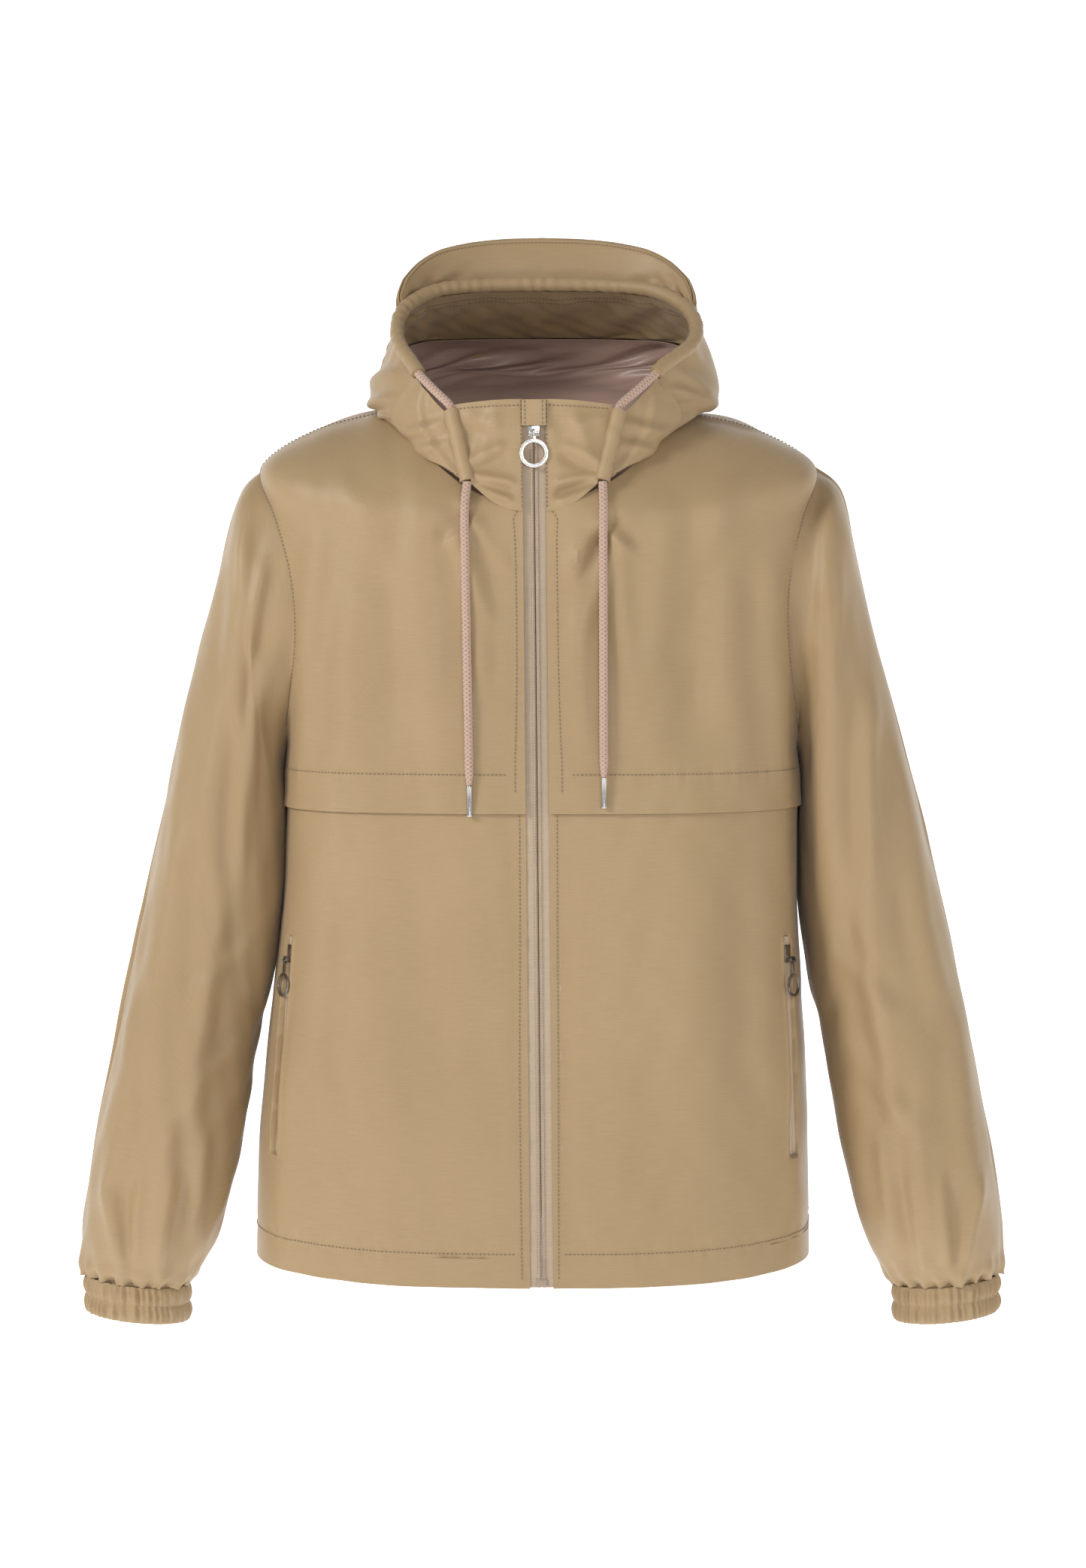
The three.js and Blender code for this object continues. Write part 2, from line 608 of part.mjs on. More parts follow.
function ringPull(radius, tubeR, drop) {
  const eye = new THREE.TorusGeometry(2.2, 0.75, 6, 10);
  eye.rotateY(Math.PI / 2);
  const neck = block(-1, 1, -0.7, 0.7, -(drop - radius) - 0.4, -2.1);
  const ring = new THREE.TorusGeometry(radius - tubeR, tubeR, 6, 22);
  ring.rotateX(Math.PI / 2);
  ring.translate(0, 0, -drop);
  return join(eye, neck, ring);
}

function buildMainZip() {
  const up = new THREE.Vector3().subVectors(ZIP_TOP, ZIP_FOOT);
  const length = up.length();
  up.normalize();
  const across = new THREE.Vector3(1, 0, 0).addScaledVector(up, -up.x).normalize();
  const inward = up.clone().cross(across);
  const group = new THREE.Group();
  const matrix = new THREE.Matrix4().makeBasis(across, inward, up).setPosition(ZIP_TOP);
  matrix.decompose(group.position, group.quaternion, group.scale);
  jacket.add(group);
  for (const [name, side] of [['right', -1], ['left', 1]]) {
    const strip = (x0, x1, y0, y1, z0, z1) => block(Math.min(side * x0, side * x1),
      Math.max(side * x0, side * x1), y0, y1, z0, z1);
    piece(`${name}_zip_tape`, strip(0.7, 16, 3.7, 4.5, -length + 8, -1), cloth('tape'), group);
    piece(`${name}_zip_coil`, strip(0.7, 3.2, 4.8, 6.8, -length + 8, -2), cloth('tape'), group);
    piece(`${name}_top_stop`, strip(0.9, 3.4, 2.3, 3.4, -4.5, -1.5), metal(0x8d8678, 0.4), group);
  }
  piece('zip_retainer_box', block(-4.2, 4.2, 2, 6.8, -length + 1, -length + 7.4), cloth('tape'), group);
  piece('zip_insertion_pin', block(0.9, 2.5, 2.2, 3.4, -length + 8, -length + 21), cloth('tape'), group);
  const nickel = () => metal(0xd5d3cf, 0.18);
  const slider = join(sliderBody(-SLIDER_DROP - 12, 5, 4.2), bail(PULL_PIVOT));
  piece('zip_slider', slider, nickel(), group);
  const pull = piece('zip_pull_ring', ringPull(10.4, 1.4, 14.8), nickel(), group);
  pull.position.copy(PULL_PIVOT);
  const flap = block(-8.6, 8.6, -4.9, -3.7, -17, 1.5);
  piece('zip_garage', flap, cloth('shell'), group);
}

function buildPocketZip(name, { group, length }) {
  jacket.add(group);
  const half = length / 2;
  const tape = join(block(-5.6, 5.6, 3.7, 4.5, -half - 2.5, half + 2.5), block(-2.8, 2.8, 4.4, 6.4, -half, half));
  const slit = block(-0.7, 0.7, 3, 7, -half + 1, half - 1);
  piece(`${name}_pocket_zip`, cut(tape, slit), cloth('tape'), group);
  const gunmetal = () => metal(0x6f6a62, 0.35);
  const pivot = new THREE.Vector3(0, -1.9, half - 15);
  piece(`${name}_pocket_slider`, join(sliderBody(half - 10.5, 4.4, 3.8), bail(pivot)), gunmetal(), group);
  const pull = piece(`${name}_pocket_pull`, ringPull(8.8, 1.15, 18.6), gunmetal(), group);
  pull.position.copy(pivot);
}

// ---- Assembly ----

const pockets = { right: pocketFrame(-1), left: pocketFrame(1) };
buildBody(pockets);
buildNeckTrim();
for (const [name, side] of [['right', -1], ['left', 1]]) {
  buildSleeve(name, side);
  buildCuff(name, side);
  buildPocketZip(name, pockets[name]);
}
const rim = buildHood();
buildVisor();
const rightEnd = buildCollar('right', -1);
const leftEnd = buildCollar('left', 1);
buildHoodCord(rim, leftEnd, rightEnd);
buildDrawcord('right', RIGHT_CORD);
buildDrawcord('left', LEFT_CORD);
buildMainZip();

export default jacket;
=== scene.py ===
"""Hooded windbreaker jacket: cloth, cords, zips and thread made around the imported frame, in metres."""

import json
import math

import bpy
import numpy as np
from mathutils import Matrix, Vector


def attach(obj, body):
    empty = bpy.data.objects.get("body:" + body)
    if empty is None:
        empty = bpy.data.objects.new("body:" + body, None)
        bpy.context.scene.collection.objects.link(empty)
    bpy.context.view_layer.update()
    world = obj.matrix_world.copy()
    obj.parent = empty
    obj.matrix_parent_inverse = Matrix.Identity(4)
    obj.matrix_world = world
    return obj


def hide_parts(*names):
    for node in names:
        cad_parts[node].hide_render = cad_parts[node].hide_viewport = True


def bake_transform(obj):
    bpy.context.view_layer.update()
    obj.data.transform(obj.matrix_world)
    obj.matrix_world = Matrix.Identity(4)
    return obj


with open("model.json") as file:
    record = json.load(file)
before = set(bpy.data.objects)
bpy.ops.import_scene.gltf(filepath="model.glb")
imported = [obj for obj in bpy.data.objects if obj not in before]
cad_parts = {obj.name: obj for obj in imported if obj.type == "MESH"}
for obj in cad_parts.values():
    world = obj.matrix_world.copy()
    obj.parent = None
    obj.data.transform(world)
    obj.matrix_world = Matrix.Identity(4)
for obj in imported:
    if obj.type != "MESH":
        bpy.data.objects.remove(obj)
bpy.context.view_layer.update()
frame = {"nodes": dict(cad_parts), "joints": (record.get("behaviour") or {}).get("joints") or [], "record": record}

MM = 0.001
WALL = 0.7  # cloth thickness, mm
LEFT, RIGHT = 1, -1
SIDES = (("right", RIGHT), ("left", LEFT))

# Rings of the body from hem to neck, mm: z side, z front, z back, half width, front and back depth,
# squareness, centre x.
RINGS = [
    [-618, -625, -620, 208, 127.7, 127, 2.8, -5],
    [-550, -553, -550, 207, 124.1, 127, 2.9, -5],
    [-480, -480, -480, 204, 120.4, 126, 3, -4],
    [-420, -420, -420, 199, 117.4, 124, 3, -3],
    [-360, -360, -360, 192, 114.4, 123, 3, -1.5],
    [-283, -283, -283, 190, 110.5, 122, 3, 0],
    [-230, -230, -230, 190, 107.8, 123, 3, 0],
    [-170, -170, -170, 193, 104.8, 124, 3, 0],
    [-115, -115, -115, 197, 102, 123, 3, -1],
    [-68, -88, -66, 201, 100.7, 118, 2.9, -2],
    [-33, -72, -30, 203, 99.9, 109, 2.8, -3],
    [-6, -66, -3, 160, 99.6, 97, 2.5, -4],
    [7, -62, 9, 106, 99.4, 86, 2.2, -5],
]
NECK_RING = 12
FOLD_RING = 5
ZIP_TOP = np.array([-6, -95.7, 12.0])
ZIP_FOOT = np.array([0, -127.7, -625.0])
ZIP_SHOWN = 8.4
SHOULDER_Z, UNDERARM_Z, ARMHOLE_HALF_DEPTH = -33, -240, 62
SIDE_SEAM = math.radians(92)

# Rings of the left sleeve, mm: outer x and z, inner x and z, half depth, centre y.
SLEEVE_RINGS = [
    [222, -52, 194, -262, 66, 0],
    [233, -92, 193.5, -300, 66, 0],
    [245, -145, 195, -350, 65, -2],
    [259, -200, 199.5, -392, 62, -5],
    [275, -265, 204.5, -425, 59, -8],
    [285, -310, 208.5, -445, 57, -10],
    [299, -370, 214, -475, 55, -13],
    [312, -430, 218, -500, 53, -15],
    [324, -487, 224, -535, 51, -17],
    [336, -545, 232, -571, 49, -19],
    [343, -598, 243, -608, 46, -20],
    [343, -622, 256, -632, 40, -20],
    [341, -634, 263, -642, 35, -20],
]
CUFF_HEIGHT = 27

# Columns of the hood from the crown to the front corner, mm: rim point, bulge point, neck angle, lean to
# one side.
HOOD_COLUMNS = [
    [0, 46, 102, 0, 200, 38, 180, 0],
    [44, 43, 101, 66, 194, 38, 152, 1],
    [82, 28, 96, 116, 160, 36, 124, 2],
    [106, 2, 80, 138, 88, 24, 98, 3],
    [108, -30, 57, 148, 12, 2, 76, 3],
    [86, -64, 33, 124, -50, -4, 57, -3.5],
    [75, -79, 3, 98, -80, -22, 44, -4.5],
    [58, -92, -38, 64, -97, -44, 33, -5.2],
]
RIM_COLUMN = 5
CENTRE_COLUMN = 1.6
LAST_COLUMN = 6.9
CASING_R = 5.8

RIGHT_CORD = [
    (-53.6, -97.6, -45.4), (-54.2, -99.2, -51), (-55, -101.5, -58), (-55.4, -103.6, -68),
    (-55.3, -104.9, -82), (-55, -105.8, -97), (-54.7, -106.6, -113), (-54.4, -107.4, -129),
    (-54.1, -108.2, -145), (-53.8, -109, -161), (-53.5, -109.8, -177), (-53.2, -110.6, -193),
    (-52.9, -111.4, -209), (-52.6, -112.2, -225), (-52.3, -113, -243), (-52, -113.9, -262),
]
LEFT_CORD = [
    (43.6, -97.6, -45.4), (43.8, -99.2, -51), (44, -101.6, -58), (44, -103.8, -68),
    (43.9, -105.1, -82), (43.9, -106, -97), (43.9, -106.8, -113), (44, -107.6, -129),
    (44, -108.4, -145), (44.1, -109.2, -161), (44.1, -110, -177), (44.2, -110.8, -193),
    (44.2, -111.6, -209), (44.3, -112.4, -225), (44.4, -113.1, -240), (44.5, -113.9, -256),
]


# ---- Shapes shared by the pieces ----


def along(rows, place):
    """Smooth values at fractional places in a list of equally long number lists."""
    rows = np.asarray(rows, float)
    place = np.asarray(place, float)
    last = len(rows) - 1
    start = np.clip(np.floor(place).astype(int), 0, last - 1)
    f = (place - start)[..., None]
    a, b = rows[start], rows[start + 1]
    rise_a = (b - rows[np.maximum(start - 1, 0)]) / 2
    rise_b = (rows[np.minimum(start + 2, last)] - a) / 2
    ease = f * f * (3 - 2 * f)
    return a * (1 - ease) + b * ease + rise_a * f * (1 - f) ** 2 - rise_b * f * f * (1 - f)


def torso(angle, ring):
    """Points of the body's shell: angle from the centre front to the wearer's left, ring from the hem."""
    angle, ring = np.broadcast_arrays(np.asarray(angle, float), np.asarray(ring, float))
    z_side, z_front, z_back, half, front, back, square, centre = np.moveaxis(along(RINGS, ring), -1, 0)
    s, c = np.sin(angle), np.cos(angle)
    x = centre + half * np.sign(s) * np.abs(s) ** (2 / square)
    y = np.where(c > 0, -front, back) * np.abs(c) ** (2 / square)
    z = z_side + (np.where(c > 0, z_front, z_back) - z_side) * c * c
    return np.stack([x, y, z], -1)


def zip_x(z):
    f = (ZIP_TOP[2] - z) / (ZIP_TOP[2] - ZIP_FOOT[2])
    return ZIP_TOP[0] + (ZIP_FOOT[0] - ZIP_TOP[0]) * f


def edge_angle(side, ring, reach):
    """The angle of a front's edge at a distance from the middle of the zip."""
    values = along(RINGS, ring)
    x = zip_x(values[..., 1]) + side * reach - values[..., 7]
    return side * np.arcsin((np.abs(x) / values[..., 3]) ** (values[..., 6] / 2))


def armhole_half(ring):
    """Half depth of the armhole at a ring, zero outside its height."""
    z = along(RINGS, ring)[..., 0]
    middle, half = (SHOULDER_Z + UNDERARM_Z) / 2, (SHOULDER_Z - UNDERARM_Z) / 2
    return ARMHOLE_HALF_DEPTH * np.sqrt(np.clip(1 - ((z - middle) / half) ** 2, 0, 1))


def seam_angle(ring, front):
    """Where a front or the back ends: at the side seam, the armhole or the shoulder seam."""
    values = along(RINGS, ring)
    depth = values[..., 4] if front else values[..., 5]
    half = armhole_half(ring)
    reach = np.arcsin((half / depth) ** (values[..., 6] / 2))
    seam = SIDE_SEAM - 0.12 * np.clip(ring - 9, 0, None) / 3
    if front:
        return np.where(half > 0, np.minimum(seam, np.pi / 2 - reach), seam)
    return np.where(half > 0, np.maximum(seam, np.pi / 2 + reach), seam)


def neck_point(side, degrees):
    return torso(side * np.radians(degrees), np.full(np.shape(degrees), float(NECK_RING))) + [0, 0, 3.2]


def hood(column, r, skip):
    """Points of the hood: column from the crown (0) to a front corner, r from the rim to the neck seam."""
    column, r = np.broadcast_arrays(np.asarray(column, float), np.asarray(r, float))
    side = np.where(column < 0, -1.0, 1.0)
    values = along(HOOD_COLUMNS, np.abs(column))
    sign = np.stack([side, np.ones_like(side), np.ones_like(side)], -1)
    lean = np.stack([values[..., 7], np.zeros_like(side), np.zeros_like(side)], -1)
    rim, bulge = values[..., 0:3] * sign + lean, values[..., 3:6] * sign + lean
    neck = neck_point(side, values[..., 6])
    start = skip / (2 * np.linalg.norm(rim - bulge, axis=-1))
    f = (start + (1 - start) * r)[..., None]
    return rim * (1 - f) ** 2 + bulge * 2 * f * (1 - f) + neck * f * f


def grid(u_range, v_range, nu, nv):
    u = np.linspace(u_range[0], u_range[1], nu + 1)
    v = np.linspace(v_range[0], v_range[1], nv + 1)
    return np.meshgrid(u, v, indexing="ij")


def normals_of(points, closed=False):
    if closed:
        ring = np.concatenate([points[-1:], points, points[:1]])
        du = ring[2:] - ring[:-2]
    else:
        du = np.gradient(points, axis=0)
    normal = np.cross(du, np.gradient(points, axis=1))
    return normal / (np.linalg.norm(normal, axis=-1, keepdims=True) + 1e-9)


def folds(points, lines):
    """Heights of soft folds seen from the front. A line is x, z at both ends, width and height, mm.

    Each has a hollow beside it: towards the wearer's right, or the left where the width is negative.
    """
    x, z = points[..., 0], points[..., 2]
    total = np.zeros(x.shape)
    for x0, z0, x1, z1, width, height in lines:
        length = math.hypot(x1 - x0, z1 - z0)
        dx, dz = (x1 - x0) / length, (z1 - z0) / length
        s = ((x - x0) * dx + (z - z0) * dz) / length
        bow = 0.06 * length * (s - 0.5) ** 2
        q = ((x - x0) * dz - (z - z0) * dx + bow) / width
        ends = np.exp(-np.clip(np.abs(s - 0.5) - 0.3, 0, None) ** 2 / 0.03)
        total += height * ends * (np.exp(-q * q) - 0.7 * np.exp(-((q - 1.5) / 1.2) ** 2))
    return total


def ripple(a, b, seed, waves, rate_a, rate_b, sharp=1.0):
    """Uneven ripples over two running lengths, from a fixed seed, between about -1 and 1."""
    rng = np.random.default_rng(seed)
    total = np.zeros(np.broadcast(a, b).shape)
    for _ in range(waves):
        ka = rate_a * rng.uniform(0.55, 1.6) * rng.choice([-1, 1])
        kb = rate_b * rng.uniform(-1.2, 1.2)
        total += np.sin(ka * a + kb * b + rng.uniform(0, 2 * np.pi)) * rng.uniform(0.5, 1)
    total /= math.sqrt(waves) * 0.9
    return np.sign(total) * np.abs(total) ** sharp


# ---- Meshes ----


def link(name, vertices, faces, uvs=None):
    mesh = bpy.data.meshes.new(name)
    mesh.from_pydata(np.asarray(vertices).tolist(), [], faces if isinstance(faces, list) else faces.tolist())
    if uvs is not None:
        layer = mesh.uv_layers.new(name="UVMap")
        layer.data.foreach_set("uv", np.asarray(uvs, np.float32).reshape(-1))
    mesh.update()
    obj = bpy.data.objects.new(name, mesh)
    bpy.context.scene.collection.objects.link(obj)
    return obj


def finish_piece(obj, material, angle=40):
    obj.data.materials.clear()
    obj.data.materials.append(material)
    obj.data.polygons.foreach_set("use_smooth", [True] * len(obj.data.polygons))
    obj.data.set_sharp_from_angle(angle=math.radians(angle))
    return obj


def stitch_row(rows, points, normal, where, lift):
    """Keeps one row of a surface, lifted a little off the cloth, for the stitches."""
    rows.append((points[where] + normal[where] * lift, normal[where]))


def mount(obj, body, slot, *replaced):
    """Fixes a piece to a body, in place of the plain parts it stands for."""
    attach(obj, body)
    if replaced:
        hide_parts(*replaced)


def run_lengths(points, closed):
    """Running lengths along both directions of a grid, in metres."""
    wrapped = np.concatenate([points, points[:1]]) if closed else points
    du = np.linalg.norm(np.diff(wrapped, axis=0), axis=-1).mean(1)
    dv = np.linalg.norm(np.diff(points, axis=1), axis=-1).mean(0)
    return np.concatenate([[0], np.cumsum(du)]) * MM, np.concatenate([[0], np.cumsum(dv)]) * MM


def cloth(name, points, material, wall=WALL, closed=False, flip=False):
    """A ply of cloth from a grid of its outer face, mm."""
    if flip:
        points = points[::-1]
    columns, rows = points.shape[:2]
    cells = columns if closed else columns - 1
    inner = points - normals_of(points, closed) * wall
    vertices = np.concatenate([points.reshape(-1, 3), inner.reshape(-1, 3)]) * MM
    lengths_u, lengths_v = run_lengths(points, closed)
    layer = columns * rows
    i, j = (a.reshape(-1) for a in np.meshgrid(range(cells), range(rows - 1), indexing="ij"))
    edge_i, edge_j = np.arange(cells), np.arange(rows - 1)
    zero_i, zero_j = np.zeros(cells, int), np.zeros(rows - 1, int)
    sets = [
        [(0, i, j), (0, i + 1, j), (0, i + 1, j + 1), (0, i, j + 1)],
        [(1, i, j), (1, i, j + 1), (1, i + 1, j + 1), (1, i + 1, j)],
        [(0, edge_i, zero_i), (1, edge_i, zero_i), (1, edge_i + 1, zero_i), (0, edge_i + 1, zero_i)],
        [(0, edge_i, zero_i + rows - 1), (0, edge_i + 1, zero_i + rows - 1),
         (1, edge_i + 1, zero_i + rows - 1), (1, edge_i, zero_i + rows - 1)],
    ]
    if not closed:
        far = zero_j + columns - 1
        next_j = edge_j + 1
        sets.append([(0, zero_j, edge_j), (0, zero_j, next_j), (1, zero_j, next_j), (1, zero_j, edge_j)])
        sets.append([(0, far, edge_j), (1, far, edge_j), (1, far, next_j), (0, far, next_j)])
    faces, uvs = [], []
    for corners in sets:
        faces.append(np.stack([k * layer + (a % columns) * rows + b for k, a, b in corners], -1))
        uvs.append(np.stack([np.stack([lengths_u[a], lengths_v[b]], -1) for _, a, b in corners], 1))
    obj = link(name, vertices, np.concatenate(faces), np.concatenate(uvs))
    finish_piece(obj, material)
    return obj


def frames_along(path):
    """Unturning frames along a path: tangents, and two directions across."""
    tangent = np.gradient(path, axis=0)
    tangent /= np.linalg.norm(tangent, axis=1, keepdims=True)
    first = np.cross(tangent[0], [0.3, 1, 0.2])
    across = [first / np.linalg.norm(first)]
    for t in tangent[1:]:
        a = across[-1] - t * np.dot(across[-1], t)
        across.append(a / np.linalg.norm(a))
    across = np.array(across)
    return tangent, across, np.cross(tangent, across)


def spline(points, count):
    """A smooth line through chosen points, evenly stepped."""
    dense = along(points, np.linspace(0, len(points) - 1, 40 * len(points)))
    length = np.concatenate([[0], np.cumsum(np.linalg.norm(np.diff(dense, axis=0), axis=1))])
    return np.stack([np.interp(np.linspace(0, length[-1], count), length, dense[:, k]) for k in range(3)], 1)


def tube(name, path, radius, material, sides=20, swell=None):
    """A closed round tube along a path, mm. swell(s, angle) scales its radius."""
    _, across, other = frames_along(path)
    turn = np.linspace(0, 2 * np.pi, sides, endpoint=False)
    s = np.concatenate([[0], np.cumsum(np.linalg.norm(np.diff(path, axis=0), axis=1))])
    scale = swell(s[:, None], turn[None, :]) if swell else np.ones((len(path), sides))
    ring = across[:, None] * np.cos(turn)[None, :, None] + other[:, None] * np.sin(turn)[None, :, None]
    points = path[:, None] + ring * (radius * scale)[..., None]
    vertices = [points.reshape(-1, 3) * MM, path[[0, -1]] * MM]
    faces, uvs = [], []
    count = len(path)
    for i in range(count - 1):
        for j in range(sides):
            k = (j + 1) % sides
            faces.append((i * sides + j, i * sides + k, (i + 1) * sides + k, (i + 1) * sides + j))
            u0, u1 = j / sides, (j + 1) / sides
            uvs += [(u0, s[i] * MM), (u1, s[i] * MM), (u1, s[i + 1] * MM), (u0, s[i + 1] * MM)]
    first, last = count * sides, count * sides + 1
    for j in range(sides):
        k = (j + 1) % sides
        faces.append((first, k, j))
        faces.append((last, (count - 1) * sides + j, (count - 1) * sides + k))
        uvs += [(0, 0)] * 6
    obj = link(name, np.concatenate(vertices), faces, uvs)
    return finish_piece(obj, material, 60)


def stitches(name, runs, material, pitch=3.0, length=2.1, thick=0.36):
    """Short thread stitches along runs of (points, normals), mm, joined into one piece."""
    shape = [(-0.5, 0), (-0.3, 1), (0.3, 1), (0.5, 0)]
    vertices, faces = [], []
    for points, normals in runs:
        step = np.linalg.norm(np.diff(points, axis=0), axis=1)
        run = np.concatenate([[0], np.cumsum(step)])
        if run[-1] < 2 * pitch:
            continue
        places = np.arange(pitch / 2, run[-1], pitch)
        centre = np.stack([np.interp(places, run, points[:, k]) for k in range(3)], 1)
        ahead = np.stack([np.interp(places + 0.4, run, points[:, k]) for k in range(3)], 1)
        behind = np.stack([np.interp(places - 0.4, run, points[:, k]) for k in range(3)], 1)
        normal = np.stack([np.interp(places, run, normals[:, k]) for k in range(3)], 1)
        tangent = ahead - behind
        tangent /= np.linalg.norm(tangent, axis=1, keepdims=True) + 1e-9
        normal /= np.linalg.norm(normal, axis=1, keepdims=True) + 1e-9
        side = np.cross(tangent, normal)
        for c, t, n, s in zip(centre, tangent, normal, side):
            base = len(vertices)
            vertices.append(c + t * shape[0][0] * length - n * thick * 0.4)
            for place, _ in shape[1:3]:
                middle = c + t * place * length + n * thick * 0.25
                for a, b in ((1, 0), (0, 1), (-1, 0), (0, -1)):
                    vertices.append(middle + s * a * thick + n * b * thick)
            vertices.append(c + t * shape[3][0] * length - n * thick * 0.4)
            for k in range(4):
                m = (k + 1) % 4
                faces.append((base, base + 1 + k, base + 1 + m))
                faces.append((base + 1 + k, base + 5 + k, base + 5 + m, base + 1 + m))
                faces.append((base + 9, base + 5 + m, base + 5 + k))
    obj = link(name, np.array(vertices) * MM, faces)
    flip_inward(obj)
    return finish_piece(obj, material, 80)


def start_piece():
    bpy.ops.object.select_all(action="DESELECT")


def take_up(obj):
    start_piece()
    obj.select_set(True)
    bpy.context.view_layer.objects.active = obj


def resize_part(obj, chosen, scale, centre):
    """Scales the chosen vertices of a piece about a point."""
    take_up(obj)
    obj.data.polygons.foreach_set("select", [False] * len(obj.data.polygons))
    obj.data.edges.foreach_set("select", [False] * len(obj.data.edges))
    obj.data.vertices.foreach_set("select", [chosen(vertex.co) for vertex in obj.data.vertices])
    bpy.ops.object.mode_set(mode="EDIT")
    bpy.ops.transform.resize(value=scale, center_override=centre)
    bpy.ops.object.mode_set(mode="OBJECT")


def flip_inward(obj):
    """Turns every face of a piece outwards."""
    take_up(obj)
    bpy.ops.object.mode_set(mode="EDIT")
    bpy.ops.mesh.select_all(action="SELECT")
    bpy.ops.mesh.normals_make_consistent(inside=False)
    bpy.ops.object.mode_set(mode="OBJECT")
    obj.select_set(False)


# ---- Materials ----


def nodes_for(name):
    material = bpy.data.materials.new(name)
    material.use_nodes = True
    tree = material.node_tree
    return material, tree, tree.nodes["Principled BSDF"]


def wave(tree, source, scale, direction, profile="SIN"):
    node = tree.nodes.new("ShaderNodeTexWave")
    node.wave_type = "BANDS"
    node.bands_direction = direction
    node.wave_profile = profile
    node.inputs["Scale"].default_value = scale
    tree.links.new(source, node.inputs["Vector"])
    return node.outputs["Fac"]


def noise(tree, source, scale, detail=3.0, stretch=(1, 1, 1)):
    mapping = tree.nodes.new("ShaderNodeMapping")
    mapping.inputs["Scale"].default_value = stretch
    tree.links.new(source, mapping.inputs["Vector"])
    node = tree.nodes.new("ShaderNodeTexNoise")
    node.inputs["Scale"].default_value = scale
    node.inputs["Detail"].default_value = detail
    tree.links.new(mapping.outputs["Vector"], node.inputs["Vector"])
    return node.outputs["Fac"]


def combine(tree, kind, a, b):
    node = tree.nodes.new("ShaderNodeMath")
    node.operation = kind
    for value, socket in ((a, node.inputs[0]), (b, node.inputs[1])):
        if isinstance(value, (int, float)):
            socket.default_value = value
        else:
            tree.links.new(value, socket)
    return node.outputs[0]


def shade(tree, factor, stops):
    ramp = tree.nodes.new("ShaderNodeValToRGB")
    elements = ramp.color_ramp.elements
    while len(elements) < len(stops):
        elements.new(0.5)
    for element, (place, colour) in zip(elements, stops):
        element.position = place
        element.color = (*colour, 1)
    tree.links.new(factor, ramp.inputs["Fac"])
    return ramp.outputs["Color"]


def bump(tree, shader, height, strength, distance):
    node = tree.nodes.new("ShaderNodeBump")
    node.inputs["Strength"].default_value = strength
    node.inputs["Distance"].default_value = distance
    tree.links.new(height, node.inputs["Height"])
    tree.links.new(node.outputs["Normal"], shader.inputs["Normal"])


def woven(name, dark, light, roughness, sheen, threads=900.0, weave=0.35, gloss=0.4):
    """Plain-woven cloth: crossed threads on the UV map, uneven yarn and a slow change of shade."""
    material, tree, shader = nodes_for(name)
    coordinates = tree.nodes.new("ShaderNodeTexCoord")
    uv, place = coordinates.outputs["UV"], coordinates.outputs["Object"]
    warp = wave(tree, uv, threads / math.pi, "X")
    weft = wave(tree, uv, threads / math.pi, "Y")
    threads_height = combine(tree, "MAXIMUM", warp, weft)
    slub = noise(tree, uv, 60, 2, (1, 26, 1))
    crumple = noise(tree, place, 26, 4)
    slow = noise(tree, place, 5, 2)
    tone = combine(tree, "ADD", combine(tree, "MULTIPLY", slow, 0.55), combine(tree, "MULTIPLY", slub, 0.45))
    tree.links.new(shade(tree, tone, [(0.3, dark), (0.7, light)]), shader.inputs["Base Color"])
    height = combine(tree, "ADD", combine(tree, "MULTIPLY", threads_height, weave), crumple)
    bump(tree, shader, height, 0.22, 0.0006)
    shader.inputs["Roughness"].default_value = roughness
    shader.inputs["Sheen Weight"].default_value = sheen
    shader.inputs["Sheen Roughness"].default_value = 0.45
    shader.inputs["Specular IOR Level"].default_value = gloss
    return material


def braid(name, dark, light):
    """Braided cord: two crossing sets of slanted strands on the UV map, with painted shade: the colour darkens in
    the grooves between the strands and lightens on their crests, mixed with random fuzz.
    """
    material, tree, shader = nodes_for(name)
    coordinates = tree.nodes.new("ShaderNodeTexCoord")
    strands = []
    for slant in (1, -1):
        mapping = tree.nodes.new("ShaderNodeMapping")
        mapping.inputs["Scale"].default_value = (4, 330, 1)
        tree.links.new(coordinates.outputs["UV"], mapping.inputs["Vector"])
        split = tree.nodes.new("ShaderNodeSeparateXYZ")
        tree.links.new(mapping.outputs["Vector"], split.inputs[0])
        total = combine(tree, "ADD", combine(tree, "MULTIPLY", split.outputs["X"], slant), split.outputs["Y"])
        strands.append(combine(tree, "PINGPONG", total, 0.5))
    height = combine(tree, "MULTIPLY", combine(tree, "MAXIMUM", strands[0], strands[1]), 2)
    fuzz = noise(tree, coordinates.outputs["Object"], 1400, 2)
    # painted shade and highlight: the strands' height sets the colour, dark in the grooves and light on the
    # crests; the fuzz adds random tone
    relief_shade_and_fuzz = combine(tree, "ADD", combine(tree, "MULTIPLY", height, 0.7), combine(tree, "MULTIPLY", fuzz, 0.3))
    tree.links.new(shade(tree, relief_shade_and_fuzz, [(0.25, dark), (0.75, light)]), shader.inputs["Base Color"])
    bump(tree, shader, relief_shade_and_fuzz, 0.8, 0.0006)
    shader.inputs["Roughness"].default_value = 0.8
    shader.inputs["Sheen Weight"].default_value = 0.3
    return material


def plated(name, dark, light, roughness, wear):
    """Plated metal with faint scratches and worn, duller places."""
    material, tree, shader = nodes_for(name)
    coordinates = tree.nodes.new("ShaderNodeTexCoord")
    place = coordinates.outputs["Object"]
    stain = noise(tree, place, 90, 2)
    tree.links.new(shade(tree, stain, [(0.3, dark), (0.65, light)]), shader.inputs["Base Color"])
    ramp = combine(tree, "MULTIPLY_ADD", stain, wear)
    ramp.node.inputs[2].default_value = roughness
    tree.links.new(ramp, shader.inputs["Roughness"])
    bump(tree, shader, noise(tree, place, 500, 2, (1, 1, 5)), 0.05, 0.0001)
    shader.inputs["Metallic"].default_value = 1.0
    return material


